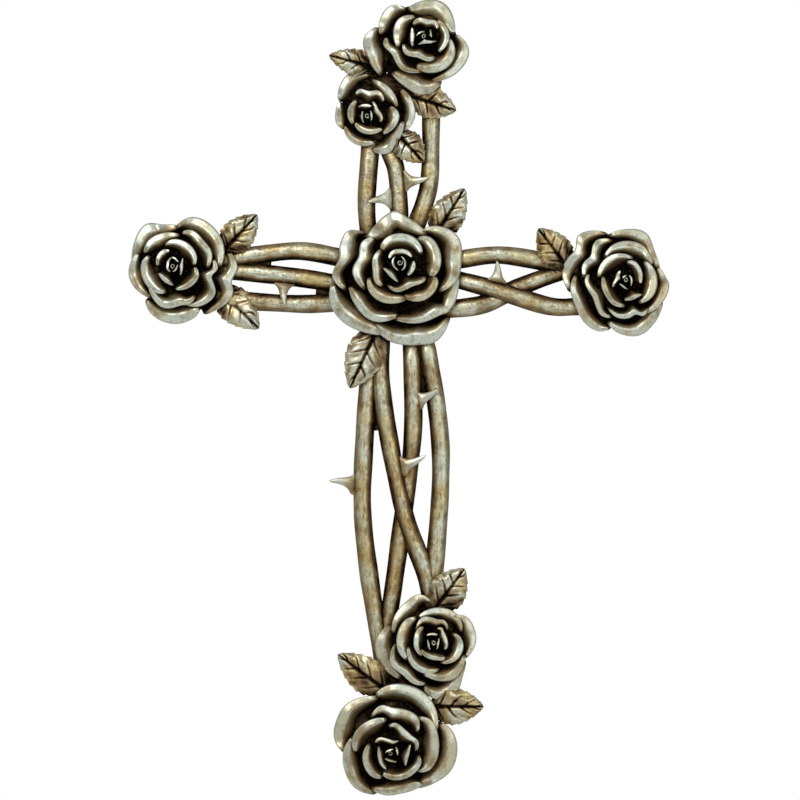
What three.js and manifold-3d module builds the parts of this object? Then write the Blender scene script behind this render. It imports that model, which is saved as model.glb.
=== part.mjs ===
// A wall cross of thorny rose stems with seven open roses, cast in resin as one piece with a flat back.
// Millimetres: X to the right, Z up, and the front of the relief faces -Y.
// Places are measured from the crossing of the arms on the wall plane. "Depth" is how far a point
// stands out from the wall. The last step moves the whole cross so that its hanger is the origin.

import * as THREE from "three";
import { mergeVertices } from "three/addons/utils/BufferGeometryUtils.js";
import Module from "manifold-3d";

const wasm = await Module();
wasm.setup();

// Wall contact point just above the keyhole, and the keyhole itself
const HANGER = { x: 0, z: 108.5 };
const KEYHOLE = { entryRadius: 4.5, neckRadius: 2.4, rise: 7, depth: 5.6, lip: 2.2, belowHanger: 9.5 };
const KEYHOLE_ROOM_INSET = 0.05;
const ARC_STEPS = 8;

// Stems: a rounded front on straight sides that end in the flat back. The ends dip under the roses.
const STEM_RADIUS = 3.9;
const STEM_STEP = 16;
const STEM_DIP = 0.4;
const STEM_DIP_START = 0.86;
const STEM_FLAT = 0.45;
const STEM_SHOULDER = 0.5;

// Roses: height of the bud above the wall, and how deep the valleys between the petals are
const ROSE_BASE_HEIGHT = 6;
const ROSE_HEIGHT_PER_RADIUS = 0.48;
const ROSE_DOME_FALL = 0.48;
const VALLEY_SHARE = 0.42;
const DOME_SHARES = [0, 0.45, 0.8];
const DOME_EDGE = 0.8;
const DOME_FOOT = 0.7;
const ROOT_DEPTH = 1.6;
const LOWEST_FLOOR = 0.5;
const DOME_SIDES = 8;

// Bud: a small cup that stands on the dome and nearly reaches the height of the rose
const BUD_RADIUS = 3;
const BUD_HEIGHT_SHARE = 0.95;
const BUD_FLARE = 1.1;
const BUD_MOUTH = 0.5;
const BUD_LIP_FALL = 0.4;
const BUD_HOLLOW = 2;
const BUD_SIDES = 6;

// Petals: which ones reach down to the wall, and how their bands taper, stagger and fall at both ends
const WALL_SHARE = 0.82;
const BAND_TAPER = 0.88;
const STAGGER = 0.4;
const END_FALL = 0.1;
const SHOULDER = 0.6;
const ROOT_WIDTH = 1.2;
const ROLL_FALL = 0.3;
const LIP_THICKNESS = 1.3;
const LIP_INSET = 0.15;
const POLE_INSET = 0.2;
const ROOT_GAP = 1;
const ENDS_AT = 0.8;
const WALL_LOOPS = 4;
const INNER_LOOPS = 3;

// Everything starts behind the wall plane and is cut flat there
const BACK_OVERCUT = 1;
const CUT_SIZE = 700;
const CUT_DEPTH = 20;
const SMALLEST_SOLID = 1000;

// Leaves: a folded blade with a saw edge and a groove along its midrib
const LEAF_THICKNESS = 2.4;
const LEAF_CROWN = 1.5;
const LEAF_GROOVE = 1.1;
const LEAF_TOOTH = 0.5;
const LEAF_EDGE_FALL = 1.2;
const LEAF_WIDEST = 0.85;
const LEAF_FULLNESS = 0.7;
const LEAF_STATIONS = [0.1, 0.3, 0.48, 0.66, 0.84];
const LEAF_FOOT_SINK = 1.5;
const LEAF_TIP_SINK = 1;

// Thorns: a flattened cone, wide at its foot and slim from its waist to the tip
const THORN_RADIUS = 2.3;
const THORN_FLARE = 1.25;
const THORN_WAIST = 0.72;
const THORN_WAIST_AT = 0.35;
const THORN_FLATNESS = 0.8;
const THORN_SIDES = 5;
const THORN_ROOT = 0.5;

const RAD = Math.PI / 180;

// Each petal is the width of its rolled band, then the places that its rim passes, as [azimuth, reach]:
// degrees round the bud, 0 to the right and 90 up, and the distance from the middle of the bud. Rings
// run from the outermost to the innermost.
const ROSES = [
  {
    name: "top_large",
    bud: [10.3, 103.4],
    middle: [6.7, 99.1],
    radius: 21.6,
    rings: [
      [
        [6, [123, 14], [95, 15.5], [62, 17], [30, 14.8], [4, 13]],
        [4.2, [122, 15], [138, 19.8], [160, 20.3], [178, 19]],
        [5.2, [167, 21], [182, 26], [203, 25.8], [223, 25]],
        [6, [227, 21], [250, 23], [271, 25.1], [292, 21]],
        [4.2, [6, 14], [-16, 20], [-45, 20.8], [-84, 19.5]],
      ],
      [
        [3.8, [112, 9.6], [145, 13.2], [177, 13.2], [206, 12.4]],
        [2.9, [180, 16.4], [192, 17.7], [210, 15.8], [238, 17.2], [270, 15]],
        [4.8, [0, 10.8], [-28, 15], [-54, 16.4], [-84, 15.6], [-108, 13.6]],
      ],
      [
        [2.7, [197, 9.8], [222, 11.2], [253, 9.6], [282, 11], [300, 10.3]],
      ],
    ],
  },
  {
    name: "top_small",
    bud: [-14, 69.7],
    middle: [-10.3, 71.7],
    radius: 17.8,
    rings: [
      [
        [4.4, [150, 14.6], [132, 17.6], [110, 20], [84, 18.2]],
        [3, [84, 15.8], [65, 15.6], [40, 15], [14, 13.6]],
        [3.4, [40, 18.8], [24, 20.4], [0, 20.5], [-26, 17.2]],
        [4.4, [-84, 14.8], [-62, 18.2], [-38, 17.2], [-6, 16]],
        [2.8, [200, 10.8], [228, 12.5], [258, 13], [288, 12]],
        [3.2, [150, 13.8], [172, 13.7], [192, 13.6], [208, 12]],
      ],
      [
        [2.4, [120, 10.6], [106, 11.9], [86, 10.5], [62, 11.8], [38, 9.4]],
        [3.3, [24, 11], [4, 13.6], [-18, 13.1], [-52, 10.4]],
      ],
    ],
  },
  {
    name: "left",
    bud: [-96.5, 5.5],
    middle: [-92.5, 3.6],
    radius: 23.3,
    rings: [
      [
        [5.4, [176, 18], [150, 19.8], [124, 21.8], [104, 18.6], [80, 17.6]],
        [5, [88, 17], [70, 22.6], [46, 24], [20, 23], [-2, 20]],
        [4.8, [18, 24.6], [0, 27.2], [-14, 25.6], [-28, 28], [-58, 24.4]],
        [5.2, [229, 19], [246, 22.6], [270, 24.5], [292, 23.6], [303, 21.4]],
        [4, [156, 16.6], [184, 19.4], [204, 19.3], [238, 16.6]],
      ],
      [
        [3.6, [158, 14], [134, 15.5], [106, 15], [76, 13.8]],
        [3.2, [78, 15], [62, 17.4], [40, 17], [18, 17.4], [-5, 14.8]],
        [3.4, [12, 17.6], [-2, 19], [-16, 17], [-34, 21.4], [-56, 20.4], [-75, 16.8]],
        [3.4, [216, 13.4], [236, 16], [256, 18.2], [280, 17], [294, 17.5], [308, 16]],
        [3.6, [154, 11.6], [174, 13.8], [210, 14.1], [236, 13.6], [256, 11.8]],
      ],
      [
        [2.8, [114, 10], [90, 11.6], [52, 11.6], [22, 10.9], [-1, 9.2]],
        [2.6, [0, 9.6], [-20, 11.7], [-50, 11.5], [-88, 10]],
      ],
    ],
  },
  {
    name: "centre",
    bud: [-0.1, 7],
    middle: [-2.3, 0.3],
    radius: 28.8,
    rings: [
      [
        [6.4, [246, 28.6], [262, 33.6], [282, 35.8], [296, 36.8], [314, 31.6]],
        [6, [196, 30.5], [210, 34.4], [226, 35], [246, 33], [258, 31.5]],
        [4.5, [-4, 24.5], [-22, 27.2], [-38, 29.2], [-50, 28.5]],
      ],
      [
        [7.2, [146, 17.6], [124, 19.2], [108, 21.2], [95, 22.4], [78, 19.6], [42, 16.6]],
        [5.6, [58, 16.8], [44, 22.8], [24, 27.4], [2, 26.4], [-16, 25.6], [-38, 21]],
        [5.2, [138, 20], [148, 26], [162, 26.8], [176, 26], [192, 29.4], [208, 26]],
        [4.2, [204, 24], [222, 26], [246, 27.3], [270, 22.8]],
        [4, [262, 24], [286, 26.8], [306, 28], [316, 29.4], [324, 27]],
      ],
      [
        [4.6, [56, 13.2], [40, 17], [14, 17.8], [-10, 17.1], [-27, 15]],
        [4.6, [134, 16], [152, 18.4], [172, 17.7], [192, 20.6], [220, 19]],
        [3.8, [204, 15.2], [222, 17.8], [244, 18.5], [268, 17.2], [284, 15.6]],
        [3.8, [274, 14.6], [292, 17.9], [310, 19.4], [330, 18.8], [340, 16.5]],
      ],
      [
        [4, [150, 9.8], [122, 12], [90, 12.5], [54, 12.3], [18, 10.4]],
        [2.9, [142, 10], [168, 11.5], [196, 12], [220, 13.5], [236, 12.6]],
        [2.4, [238, 11], [262, 12.6], [284, 11.8], [300, 11.6], [322, 13.2], [332, 12.6]],
      ],
    ],
  },
  {
    name: "right",
    bud: [95.9, -0.4],
    middle: [92, -1],
    radius: 23.2,
    rings: [
      [
        [4.4, [112, 20.8], [88, 22], [66, 22.3], [44, 17.8], [16, 15.6]],
        [4.8, [109, 21.5], [126, 26.2], [137, 27.6], [148, 25], [163, 26.8], [176, 26.8], [192, 24.4]],
        [3.8, [172, 21.4], [188, 23.6], [206, 23.8], [228, 25], [243, 24.4], [254, 21.6]],
        [5, [246, 19.6], [264, 22.8], [285, 24.3], [304, 22.3], [320, 20.2], [332, 18.6]],
        [3.6, [24, 15.4], [6, 17.4], [-8, 19.2], [-36, 18.4], [-62, 16.6]],
      ],
      [
        [3.8, [134, 13.4], [112, 15.8], [88, 16.8], [62, 16.8], [46, 15.2], [26, 13.8]],
        [3.6, [106, 18], [122, 20.8], [132, 20.4], [145, 18.1], [160, 19.4], [178, 18]],
        [2.6, [168, 16], [182, 17.3], [206, 15.7], [222, 16.8], [236, 18.2], [252, 17]],
        [2.5, [236, 14], [256, 16.2], [274, 16.3], [287, 15.3], [298, 17.1], [312, 15.6]],
        [3.8, [48, 11.8], [22, 13.3], [-8, 13.9], [-34, 13.5], [-62, 11.4]],
      ],
      [
        [2.8, [176, 11.8], [156, 12.5], [128, 12.5], [100, 11.6], [66, 10]],
        [2.5, [168, 10], [190, 10.5], [220, 10.9], [248, 11.9], [272, 11.2]],
      ],
    ],
  },
  {
    name: "bottom_small",
    bud: [14.2, -154.9],
    middle: [10.8, -156],
    radius: 21.4,
    rings: [
      [
        [3.8, [168, 18], [148, 20], [124, 21], [106, 21.4], [90, 17.6]],
        [3.6, [54, 14.8], [38, 18], [18, 18.6], [-2, 18.1], [-28, 15.4]],
        [5.8, [156, 19.8], [174, 24.2], [190, 25], [206, 24.1], [230, 21]],
        [5.5, [256, 19.5], [268, 23.6], [282, 25.2], [297, 23.2], [312, 19], [332, 16]],
      ],
      [
        [3.2, [122, 13], [100, 14.4], [66, 15.8], [44, 15.6], [18, 13]],
        [3.8, [122, 13.4], [142, 15.6], [172, 15.8], [194, 15.3], [214, 13.6]],
        [3, [180, 16.4], [196, 19.2], [208, 20.4], [226, 19], [246, 19.4], [262, 18]],
        [3.8, [250, 14], [268, 15.4], [286, 17], [302, 17.8], [322, 16.3], [342, 14.4]],
      ],
      [
        [2.4, [148, 9], [122, 11.5], [108, 11.9], [82, 10.3], [62, 10.7], [38, 8.2]],
        [2.6, [186, 11.2], [206, 12.4], [232, 13.5], [262, 13.3], [286, 11.4]],
        [3, [28, 9.6], [10, 12], [-12, 13], [-40, 12], [-74, 8.8]],
      ],
    ],
  },
  {
    name: "bottom_large",
    bud: [-4.1, -201.8],
    middle: [-2, -196.5],
    radius: 25,
    rings: [
      [
        [5.6, [181, 20], [166, 24.8], [148, 27], [130, 27.8], [100, 24.6]],
        [5.2, [106, 25.8], [90, 29.2], [66, 29.8], [46, 27.4], [24, 22]],
        [6, [33, 25], [18, 28.2], [0, 28.6], [-18, 26.8], [-36, 22.6], [-54, 19]],
        [4.4, [240, 17.6], [262, 18.3], [284, 18], [306, 19], [318, 19.4]],
        [4.6, [156, 17.8], [176, 20], [200, 21], [226, 21.4], [252, 19.2]],
      ],
      [
        [4, [120, 17.6], [102, 20.8], [86, 19.5], [62, 19.8], [50, 18.9], [36, 15]],
        [3.6, [94, 15], [116, 16.5], [146, 17.5], [164, 17], [180, 15.2]],
        [4.4, [54, 19.6], [38, 22.5], [16, 21.4], [-8, 20], [-24, 18], [-36, 14]],
        [3.1, [154, 10.2], [178, 11.6], [206, 12.4], [232, 12.7], [254, 11.2]],
      ],
      [
        [2.6, [96, 12], [80, 13.3], [60, 12.1], [40, 12], [22, 13], [2, 11]],
        [2.8, [-2, 12.4], [-18, 13.8], [-40, 13.2], [-70, 12], [-100, 10.6], [-112, 9.4]],
      ],
    ],
  },
];

// Stems, and low webs that fill the narrow gaps between roses and between stems: the middle line seen
// from the front, as [x, z], and the depth of the front at both ends and between
const STEMS = [
  { name: "up_left", fronts: [5.6, 7.6, 7], path: [[-12.5, 61], [-12.8, 55], [-14.3, 33], [-13.2, 17]] },
  {
    name: "up_middle",
    fronts: [5.6, 7.8, 7],
    path: [[-5.9, 60.5], [-4.6, 55.5], [-1.7, 47.1], [-0.5, 34], [-0.2, 20]],
  },
  {
    name: "up_right",
    fronts: [7, 7.6, 7],
    path: [[13.5, 84], [13.3, 69.3], [12.8, 44.9], [10.5, 33], [5, 19]],
  },
  { name: "top_web", fronts: [5, 5.4, 5], path: [[-15, 88.5], [-6.5, 84.5], [6, 79.5]] },
  { name: "low_web", fronts: [5, 5.4, 5], path: [[-8, -167], [2, -172], [13, -176.5]] },
  { name: "left_high_web", fronts: [4, 4.4, 4], path: [[-72, 7], [-64, 7.2], [-55, 7.4]] },
  { name: "left_low_web", fronts: [4, 4.4, 4], path: [[-36, -4.6], [-31, -5.2], [-25, -6]] },
  { name: "down_left_web", fronts: [4, 4.4, 4], path: [[-10.8, -48], [-10.6, -56], [-10.8, -64.5]] },
  { name: "down_right_web", fronts: [4, 4.4, 4], path: [[8.6, -33], [9.8, -43], [10.8, -52]] },
  { name: "left_top", fronts: [7, 7.6, 7], path: [[-78, 8], [-63.4, 10.3], [-42.8, 12.3], [-23, 9]] },
  { name: "left_middle", fronts: [7, 8, 7], path: [[-78, 3.6], [-68.9, 3.5], [-46.4, 1.3], [-24, -2]] },
  {
    name: "left_low",
    fronts: [7, 7.4, 7],
    path: [[-79, -6.5], [-70.6, -8.6], [-42.8, -10.3], [-25, -9.6]],
  },
  {
    name: "right_top",
    fronts: [7, 7.4, 7],
    path: [[20, 7.5], [26.3, 8.8], [43.9, 10.5], [68.5, 6.4], [77, 4.5]],
  },
  {
    name: "right_front",
    fronts: [7.4, 9.4, 7.4],
    path: [[20, 0.6], [24.8, 0], [41.9, -4.6], [63, -11.1], [74.4, -11.5], [79, -11]],
  },
  {
    name: "right_behind",
    fronts: [6.8, 6.6, 6.8],
    path: [[19, -12.4], [22.3, -12.4], [36.2, -10.3], [50.4, -3.4], [68.5, 3.4], [76, 5.4]],
  },
  {
    name: "down_left",
    fronts: [7, 7.8, 5],
    path: [
      [-12, -24], [-12.8, -30], [-15, -65.4], [-16.1, -96.7], [-13.3, -125.5], [-8.1, -158.4], [-6.5, -174],
    ],
  },
  {
    name: "down_front",
    fronts: [7, 9.6, 7.6],
    path: [[-8, -24], [-7.9, -46.2], [-2.9, -77.9], [2.8, -103], [10.8, -125.4], [14, -141]],
  },
  {
    name: "down_behind",
    fronts: [7, 6.6, 5],
    path: [[4.6, -24], [5.6, -46.5], [5.3, -68.5], [1.7, -98.4], [-3, -132.6], [-6.2, -154], [-7.6, -172]],
  },
  {
    name: "down_right",
    fronts: [7, 7.6, 7.2],
    path: [[9.8, -24], [12.5, -33.9], [16.9, -65.4], [17.2, -90.5], [14.6, -125.4], [13.2, -141]],
  },
];

// Thorns: foot and tip as [x, depth, z]
const THORNS = [
  { name: "up_middle_right", foot: [0.6, 5.6, 42.2], tip: [12.3, 8.4, 42.9] },
  { name: "up_middle_left", foot: [-2.6, 5.6, 34.3], tip: [-13.8, 8.4, 33.5] },
  { name: "left_middle", foot: [-48.9, 5.6, 0], tip: [-49.7, 8.2, -11] },
  { name: "right_front", foot: [40.5, 6.6, -2.4], tip: [41.9, 7.4, 8] },
  { name: "down_left", foot: [-18, 5, -87.9], tip: [-30.2, 6.4, -85.4] },
  { name: "down_front", foot: [-1, 7, -80], tip: [11.3, 9.2, -75.4] },
  { name: "down_behind", foot: [6, 5.2, -51.7], tip: [16.3, 9.4, -47.5] },
];

// Leaves: the foot and the tip as [x, z], the half width, the depth of the blade at foot and tip
const LEAVES = [
  { name: "top_left", foot: [-9, 90], tip: [-30.3, 95.7], half: 6, depths: [6.5, 8.5] },
  { name: "top_right", foot: [4, 78.5], tip: [24, 72], half: 7.2, depths: [7.2, 9.5] },
  { name: "up_arm", foot: [-1.5, 62.5], tip: [10.1, 50], half: 6.6, depths: [8.4, 9.8] },
  { name: "left_high", foot: [-76, 11.5], tip: [-60.9, 27.7], half: 7.4, depths: [8, 9] },
  { name: "left_low", foot: [-78, -3.5], tip: [-60.2, -21], half: 8, depths: [4.6, 9] },
  { name: "centre_high", foot: [14.5, 18], tip: [27.6, 38.8], half: 7.6, depths: [7, 9.6] },
  { name: "centre_low", foot: [-9.5, -20.5], tip: [-21.4, -46.4], half: 8.6, depths: [9, 9.6] },
  { name: "right_high", foot: [72, 4.5], tip: [59, 21.8], half: 7.6, depths: [8, 9] },
  { name: "down_arm", foot: [14.5, -141], tip: [27.5, -123.3], half: 8.4, depths: [8.6, 9.6] },
  { name: "bottom_left", foot: [-5, -176], tip: [-26.5, -159.9], half: 8, depths: [8, 8.6] },
  { name: "bottom_right", foot: [12.5, -182], tip: [35.7, -182.2], half: 8.2, depths: [8, 8.6] },
];

// Turns a closed triangle list into a solid, with its faces pointing out
function solidFrom(positions, triangles) {
  const geometry = new THREE.BufferGeometry();
  geometry.setAttribute("position", new THREE.Float32BufferAttribute(positions, 3));
  geometry.setIndex(triangles);
  return solidOf(geometry);
}

function solidOf(source) {
  const bare = source.clone();
  bare.deleteAttribute("normal");
  bare.deleteAttribute("uv");
  const geometry = mergeVertices(bare);
  const place = geometry.attributes.position.array;
  const corners = Uint32Array.from(geometry.index.array);
  const corner = (i) => new THREE.Vector3().fromArray(place, corners[i] * 3);
  let volume = 0;
  for (let i = 0; i < corners.length; i += 3) {
    volume += corner(i).dot(corner(i + 1).cross(corner(i + 2)));
  }
  if (volume < 0) {
    for (let i = 0; i < corners.length; i += 3) {
      [corners[i], corners[i + 1]] = [corners[i + 1], corners[i]];
    }
  }
  const mesh = new wasm.Mesh({ numProp: 3, vertProperties: Float32Array.from(place), triVerts: corners });
  return new wasm.Manifold(mesh);
}

// Skin over a row of closed loops with the same number of points, closed by a single point at each end
function loft(loops, firstPole, lastPole) {
  const count = loops[0].length;
  const points = [firstPole, ...loops.flat(), lastPole];
  const last = points.length - 1;
  const at = (row, i) => 1 + row * count + (i % count);
  const triangles = [];
  for (let i = 0; i < count; i++) {
    triangles.push(0, at(0, i + 1), at(0, i));
    triangles.push(last, at(loops.length - 1, i), at(loops.length - 1, i + 1));
  }
  for (let row = 0; row < loops.length - 1; row++) {
    for (let i = 0; i < count; i++) {
      triangles.push(at(row, i), at(row, i + 1), at(row + 1, i));
      triangles.push(at(row, i + 1), at(row + 1, i + 1), at(row + 1, i));
    }
  }
  return solidFrom(points.flatMap((point) => point.toArray()), triangles);
}

const mix = THREE.MathUtils.lerp;
const centroid = (points) =>
  points.reduce((sum, point) => sum.add(point), new THREE.Vector3()).divideScalar(points.length);

// How high a rose stands, and the height of its crests and its valleys at a share of its radius
const roseHeight = (rose) => ROSE_BASE_HEIGHT + ROSE_HEIGHT_PER_RADIUS * rose.radius;
const crestHeight = (rose, share) => roseHeight(rose) * (1 - ROSE_DOME_FALL * share * share);
const valleyHeight = (rose, share) => crestHeight(rose, share) - VALLEY_SHARE * roseHeight(rose);

// A tilted rose shows its bud off centre, so the same ring reaches further on one side
function leanAt(rose, azimuth) {
  const dx = rose.middle[0] - rose.bud[0];
  const dz = rose.middle[1] - rose.bud[1];
  return dx * Math.cos(azimuth * RAD) + dz * Math.sin(azimuth * RAD);
}

const onRose = (rose, azimuth, reach, depth) =>
  new THREE.Vector3(
    rose.bud[0] + reach * Math.cos(azimuth * RAD),
    -depth,
    rose.bud[1] + reach * Math.sin(azimuth * RAD),
  );

// Depth of the dome's surface at a share of the rose's radius
function domeDepth(rose, share) {
  const depths = DOME_SHARES.map((each) => valleyHeight(rose, each));
  depths[2] *= DOME_EDGE;
  const step = share < DOME_SHARES[1] ? 0 : 1;
  const along = (share - DOME_SHARES[step]) / (DOME_SHARES[step + 1] - DOME_SHARES[step]);
  return Math.max(0, mix(depths[step], depths[step + 1], along));
}

// A petal is a curved wall whose rim rolls outwards; its ends taper and dive under its neighbours
function petal(rose, [band, ...places], index) {
  const curve = new THREE.CatmullRomCurve3(
    places.map(([azimuth, reach]) => new THREE.Vector3(azimuth, reach, 0)),
    false,
    "catmullrom",
    0.5,
  );
  const shareAt = (azimuth, reach) => Math.min(1, Math.max(0, (reach - leanAt(rose, azimuth)) / rose.radius));
  const sum = places.reduce((total, [azimuth, reach]) => total + shareAt(azimuth, reach), 0);
  const toWall = sum / places.length > WALL_SHARE;
  const stagger = index % 2 ? STAGGER : -STAGGER;

  const placeAt = (u) => {
    const { x: azimuth, y: rim } = curve.getPoint((u + 1) / 2);
    return { azimuth, rim, share: shareAt(azimuth, rim) };
  };
  const loopAt = (u) => {
    const { azimuth, rim, share } = placeAt(u);
    const width = band * (1 - BAND_TAPER * (1 - Math.sqrt(1 - u * u)));
    const top = crestHeight(rose, share) + stagger - END_FALL * roseHeight(rose) * share * u * u;
    const edge = top - ROLL_FALL * width;
    const foot = DOME_FOOT * rim;
    const root = Math.min(rim - ROOT_WIDTH * width, toWall ? foot - ROOT_GAP : rim);
    const underside = toWall
      ? [
          [rim - LIP_INSET * width, edge - LIP_THICKNESS],
          [foot, -BACK_OVERCUT],
        ]
      : [[rim - SHOULDER * width, -BACK_OVERCUT]];
    const section = [[root, -BACK_OVERCUT], [rim - SHOULDER * width, top], [rim, edge], ...underside];
    return section.map(([r, depth]) => onRose(rose, azimuth, r, depth));
  };
  const poleAt = (u) => {
    const { azimuth, rim, share } = placeAt(u);
    const depth = toWall ? -BACK_OVERCUT : Math.max(LOWEST_FLOOR, domeDepth(rose, share) - ROOT_DEPTH);
    return onRose(rose, azimuth, rim - POLE_INSET * band, depth);
  };
  const count = toWall ? WALL_LOOPS : INNER_LOOPS;
  const loops = [];
  for (let i = 0; i < count; i++) {
    loops.push(loopAt(mix(-ENDS_AT, ENDS_AT, i / (count - 1))));
  }
  return loft(loops, poleAt(-1), poleAt(1));
}

// The solid dome that all petals of a rose grow from, and the curled bud in its middle
function roseCore(rose) {
  const height = roseHeight(rose);
  const surface = DOME_SHARES.map((share) => new THREE.Vector2(share * rose.radius, domeDepth(rose, share)));
  const dome = new THREE.LatheGeometry(
    [
      new THREE.Vector2(0, -BACK_OVERCUT),
      new THREE.Vector2(DOME_FOOT * rose.radius, -BACK_OVERCUT),
      ...surface.reverse(),
    ],
    DOME_SIDES,
  );
  const place = dome.attributes.position;
  for (let i = 0; i < place.count; i++) {
    const depth = place.getY(i);
    const lean = Math.min(1, Math.max(0, depth / height));
    const x = place.getX(i) + mix(rose.middle[0], rose.bud[0], lean);
    const z = place.getZ(i) + mix(rose.middle[1], rose.bud[1], lean);
    place.setXYZ(i, x, -depth, z);
  }
  const top = BUD_HEIGHT_SHARE * height;
  const root = valleyHeight(rose, 0) - ROOT_DEPTH;
  const bud = new THREE.LatheGeometry(
    [
      new THREE.Vector2(0, root),
      new THREE.Vector2(BUD_FLARE * BUD_RADIUS, root),
      new THREE.Vector2(BUD_RADIUS, top),
      new THREE.Vector2(BUD_MOUTH * BUD_RADIUS, top - BUD_LIP_FALL),
      new THREE.Vector2(0, top - BUD_HOLLOW),
    ],
    BUD_SIDES,
  );
  bud.rotateX(-Math.PI / 2);
  const budPlace = bud.attributes.position;
  for (let i = 0; i < budPlace.count; i++) {
    const depth = Math.abs(budPlace.getZ(i));
    budPlace.setXYZ(i, rose.bud[0] + budPlace.getX(i), -depth, rose.bud[1] + budPlace.getY(i));
  }
  return solidOf(dome).add(solidOf(bud));
}

function roseSolid(rose) {
  let solid = roseCore(rose);
  rose.rings.forEach((ring) => {
    ring.forEach((entry, index) => {
      solid = solid.add(petal(rose, entry, index));
    });
  });
  return solid;
}

// A stem is swept along its middle line with a flat-topped section on straight sides
function stemSolid(stem) {
  const curve = new THREE.CatmullRomCurve3(stem.path.map(([x, z]) => new THREE.Vector3(x, 0, z)));
  const steps = Math.max(4, Math.round(curve.getLength() / STEM_STEP));
  const fronts = new THREE.QuadraticBezierCurve(
    new THREE.Vector2(0, stem.fronts[0]),
    new THREE.Vector2(0.5, 2 * stem.fronts[1] - 0.5 * (stem.fronts[0] + stem.fronts[2])),
    new THREE.Vector2(1, stem.fronts[2]),
  );
  const loops = [];
  for (let i = 0; i <= steps; i++) {
    const middle = curve.getPointAt(i / steps);
    const along = curve.getTangentAt(i / steps);
    const side = new THREE.Vector3(-along.z, 0, along.x);
    const fromMiddle = Math.abs((2 * i) / steps - 1);
    const dip = STEM_DIP * Math.pow(Math.max(0, (fromMiddle - STEM_DIP_START) / (1 - STEM_DIP_START)), 2);
    const front = fronts.getPoint(i / steps).y * (1 - dip);
    const section = [
      [-1, -BACK_OVERCUT],
      [-1, STEM_SHOULDER * front],
      [-STEM_FLAT, front],
      [STEM_FLAT, front],
      [1, STEM_SHOULDER * front],
      [1, -BACK_OVERCUT],
    ];
    loops.push(
      section.map(([share, depth]) => middle.clone().addScaledVector(side, share * STEM_RADIUS).setY(-depth)),
    );
  }
  return loft(loops, centroid(loops[0]), centroid(loops[loops.length - 1]));
}

// A thorn is a flattened cone that flares where it leaves its stem
function thornSolid(thorn) {
  const [foot, tip] = [thorn.foot, thorn.tip].map(([x, depth, z]) => new THREE.Vector3(x, -depth, z));
  const along = tip.clone().sub(foot).normalize();
  const front = new THREE.Vector3(0, -1, 0).addScaledVector(along, along.y).normalize();
  const side = along.clone().cross(front);
  const loops = [
    [0, THORN_FLARE],
    [THORN_WAIST_AT, THORN_WAIST],
  ].map(([share, scale]) => {
    const middle = foot.clone().lerp(tip, share);
    return Array.from({ length: THORN_SIDES }, (_, i) => {
      const angle = Math.PI / 2 + (2 * Math.PI * (i - 1)) / THORN_SIDES;
      return middle
        .clone()
        .addScaledVector(side, Math.cos(angle) * THORN_RADIUS * scale)
        .addScaledVector(front, Math.sin(angle) * THORN_RADIUS * scale * THORN_FLATNESS);
    });
  });
  return loft(loops, foot.clone().addScaledVector(along, -THORN_ROOT), tip);
}

// A leaf is lofted from its foot to its tip: both halves of the blade rise from the midrib's groove
function leafSolid(leaf) {
  const foot = new THREE.Vector3(leaf.foot[0], 0, leaf.foot[1]);
  const tip = new THREE.Vector3(leaf.tip[0], 0, leaf.tip[1]);
  const along = tip.clone().sub(foot).normalize();
  const side = new THREE.Vector3(-along.z, 0, along.x);
  const loops = LEAF_STATIONS.map((share, index) => {
    const middle = foot.clone().lerp(tip, share);
    const tooth = index % 2 ? LEAF_TOOTH : -LEAF_TOOTH;
    const fullness = Math.pow(Math.sin(Math.PI * Math.pow(share, LEAF_WIDEST)), LEAF_FULLNESS);
    const half = leaf.half * fullness + tooth;
    const depth = mix(leaf.depths[0], leaf.depths[1], share);
    const section = [
      [-half, depth - LEAF_EDGE_FALL],
      [-0.5 * half, depth + 0.2 * LEAF_CROWN],
      [0, depth - LEAF_GROOVE],
      [0.5 * half, depth + 0.2 * LEAF_CROWN],
      [half, depth - LEAF_EDGE_FALL],
      [0, depth - LEAF_GROOVE - LEAF_THICKNESS],
    ];
    return section.map(([across, d]) => middle.clone().addScaledVector(side, across).setY(-d));
  });
  const footPole = foot.clone().setY(LEAF_FOOT_SINK - leaf.depths[0]);
  const tipPole = tip.clone().setY(LEAF_TIP_SINK - leaf.depths[1]);
  return loft(loops, footPole, tipPole);
}

// Keyhole outline on the wall plane: an entry circle with a round-ended slot above it
function keyholeShape(entryRadius, slotRadius, rise) {
  const shape = new THREE.Shape();
  const start = Math.asin(slotRadius / entryRadius);
  const join = entryRadius * Math.cos(start);
  shape.absarc(0, 0, entryRadius, Math.PI / 2 + start, Math.PI / 2 - start + 2 * Math.PI, false);
  shape.lineTo(slotRadius, rise);
  shape.absarc(0, rise, slotRadius, 0, Math.PI, false);
  shape.lineTo(-slotRadius, join);
  return shape;
}

// The keyhole: a narrow neck behind which the wider room for the screw head stays inside the back
function keyholeCut() {
  const make = (shape, from, to) => {
    const size = { depth: to - from, bevelEnabled: false, curveSegments: ARC_STEPS };
    const block = new THREE.ExtrudeGeometry(shape, size);
    block.rotateX(Math.PI / 2);
    block.translate(HANGER.x, -from, HANGER.z - KEYHOLE.belowHanger - KEYHOLE.rise);
    return solidOf(block);
  };
  const { entryRadius, neckRadius, rise, lip, depth } = KEYHOLE;
  const neck = make(keyholeShape(entryRadius, neckRadius, rise), -BACK_OVERCUT, depth);
  const room = make(keyholeShape(entryRadius, entryRadius - KEYHOLE_ROOM_INSET, rise), lip, depth);
  return neck.add(room);
}

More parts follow.
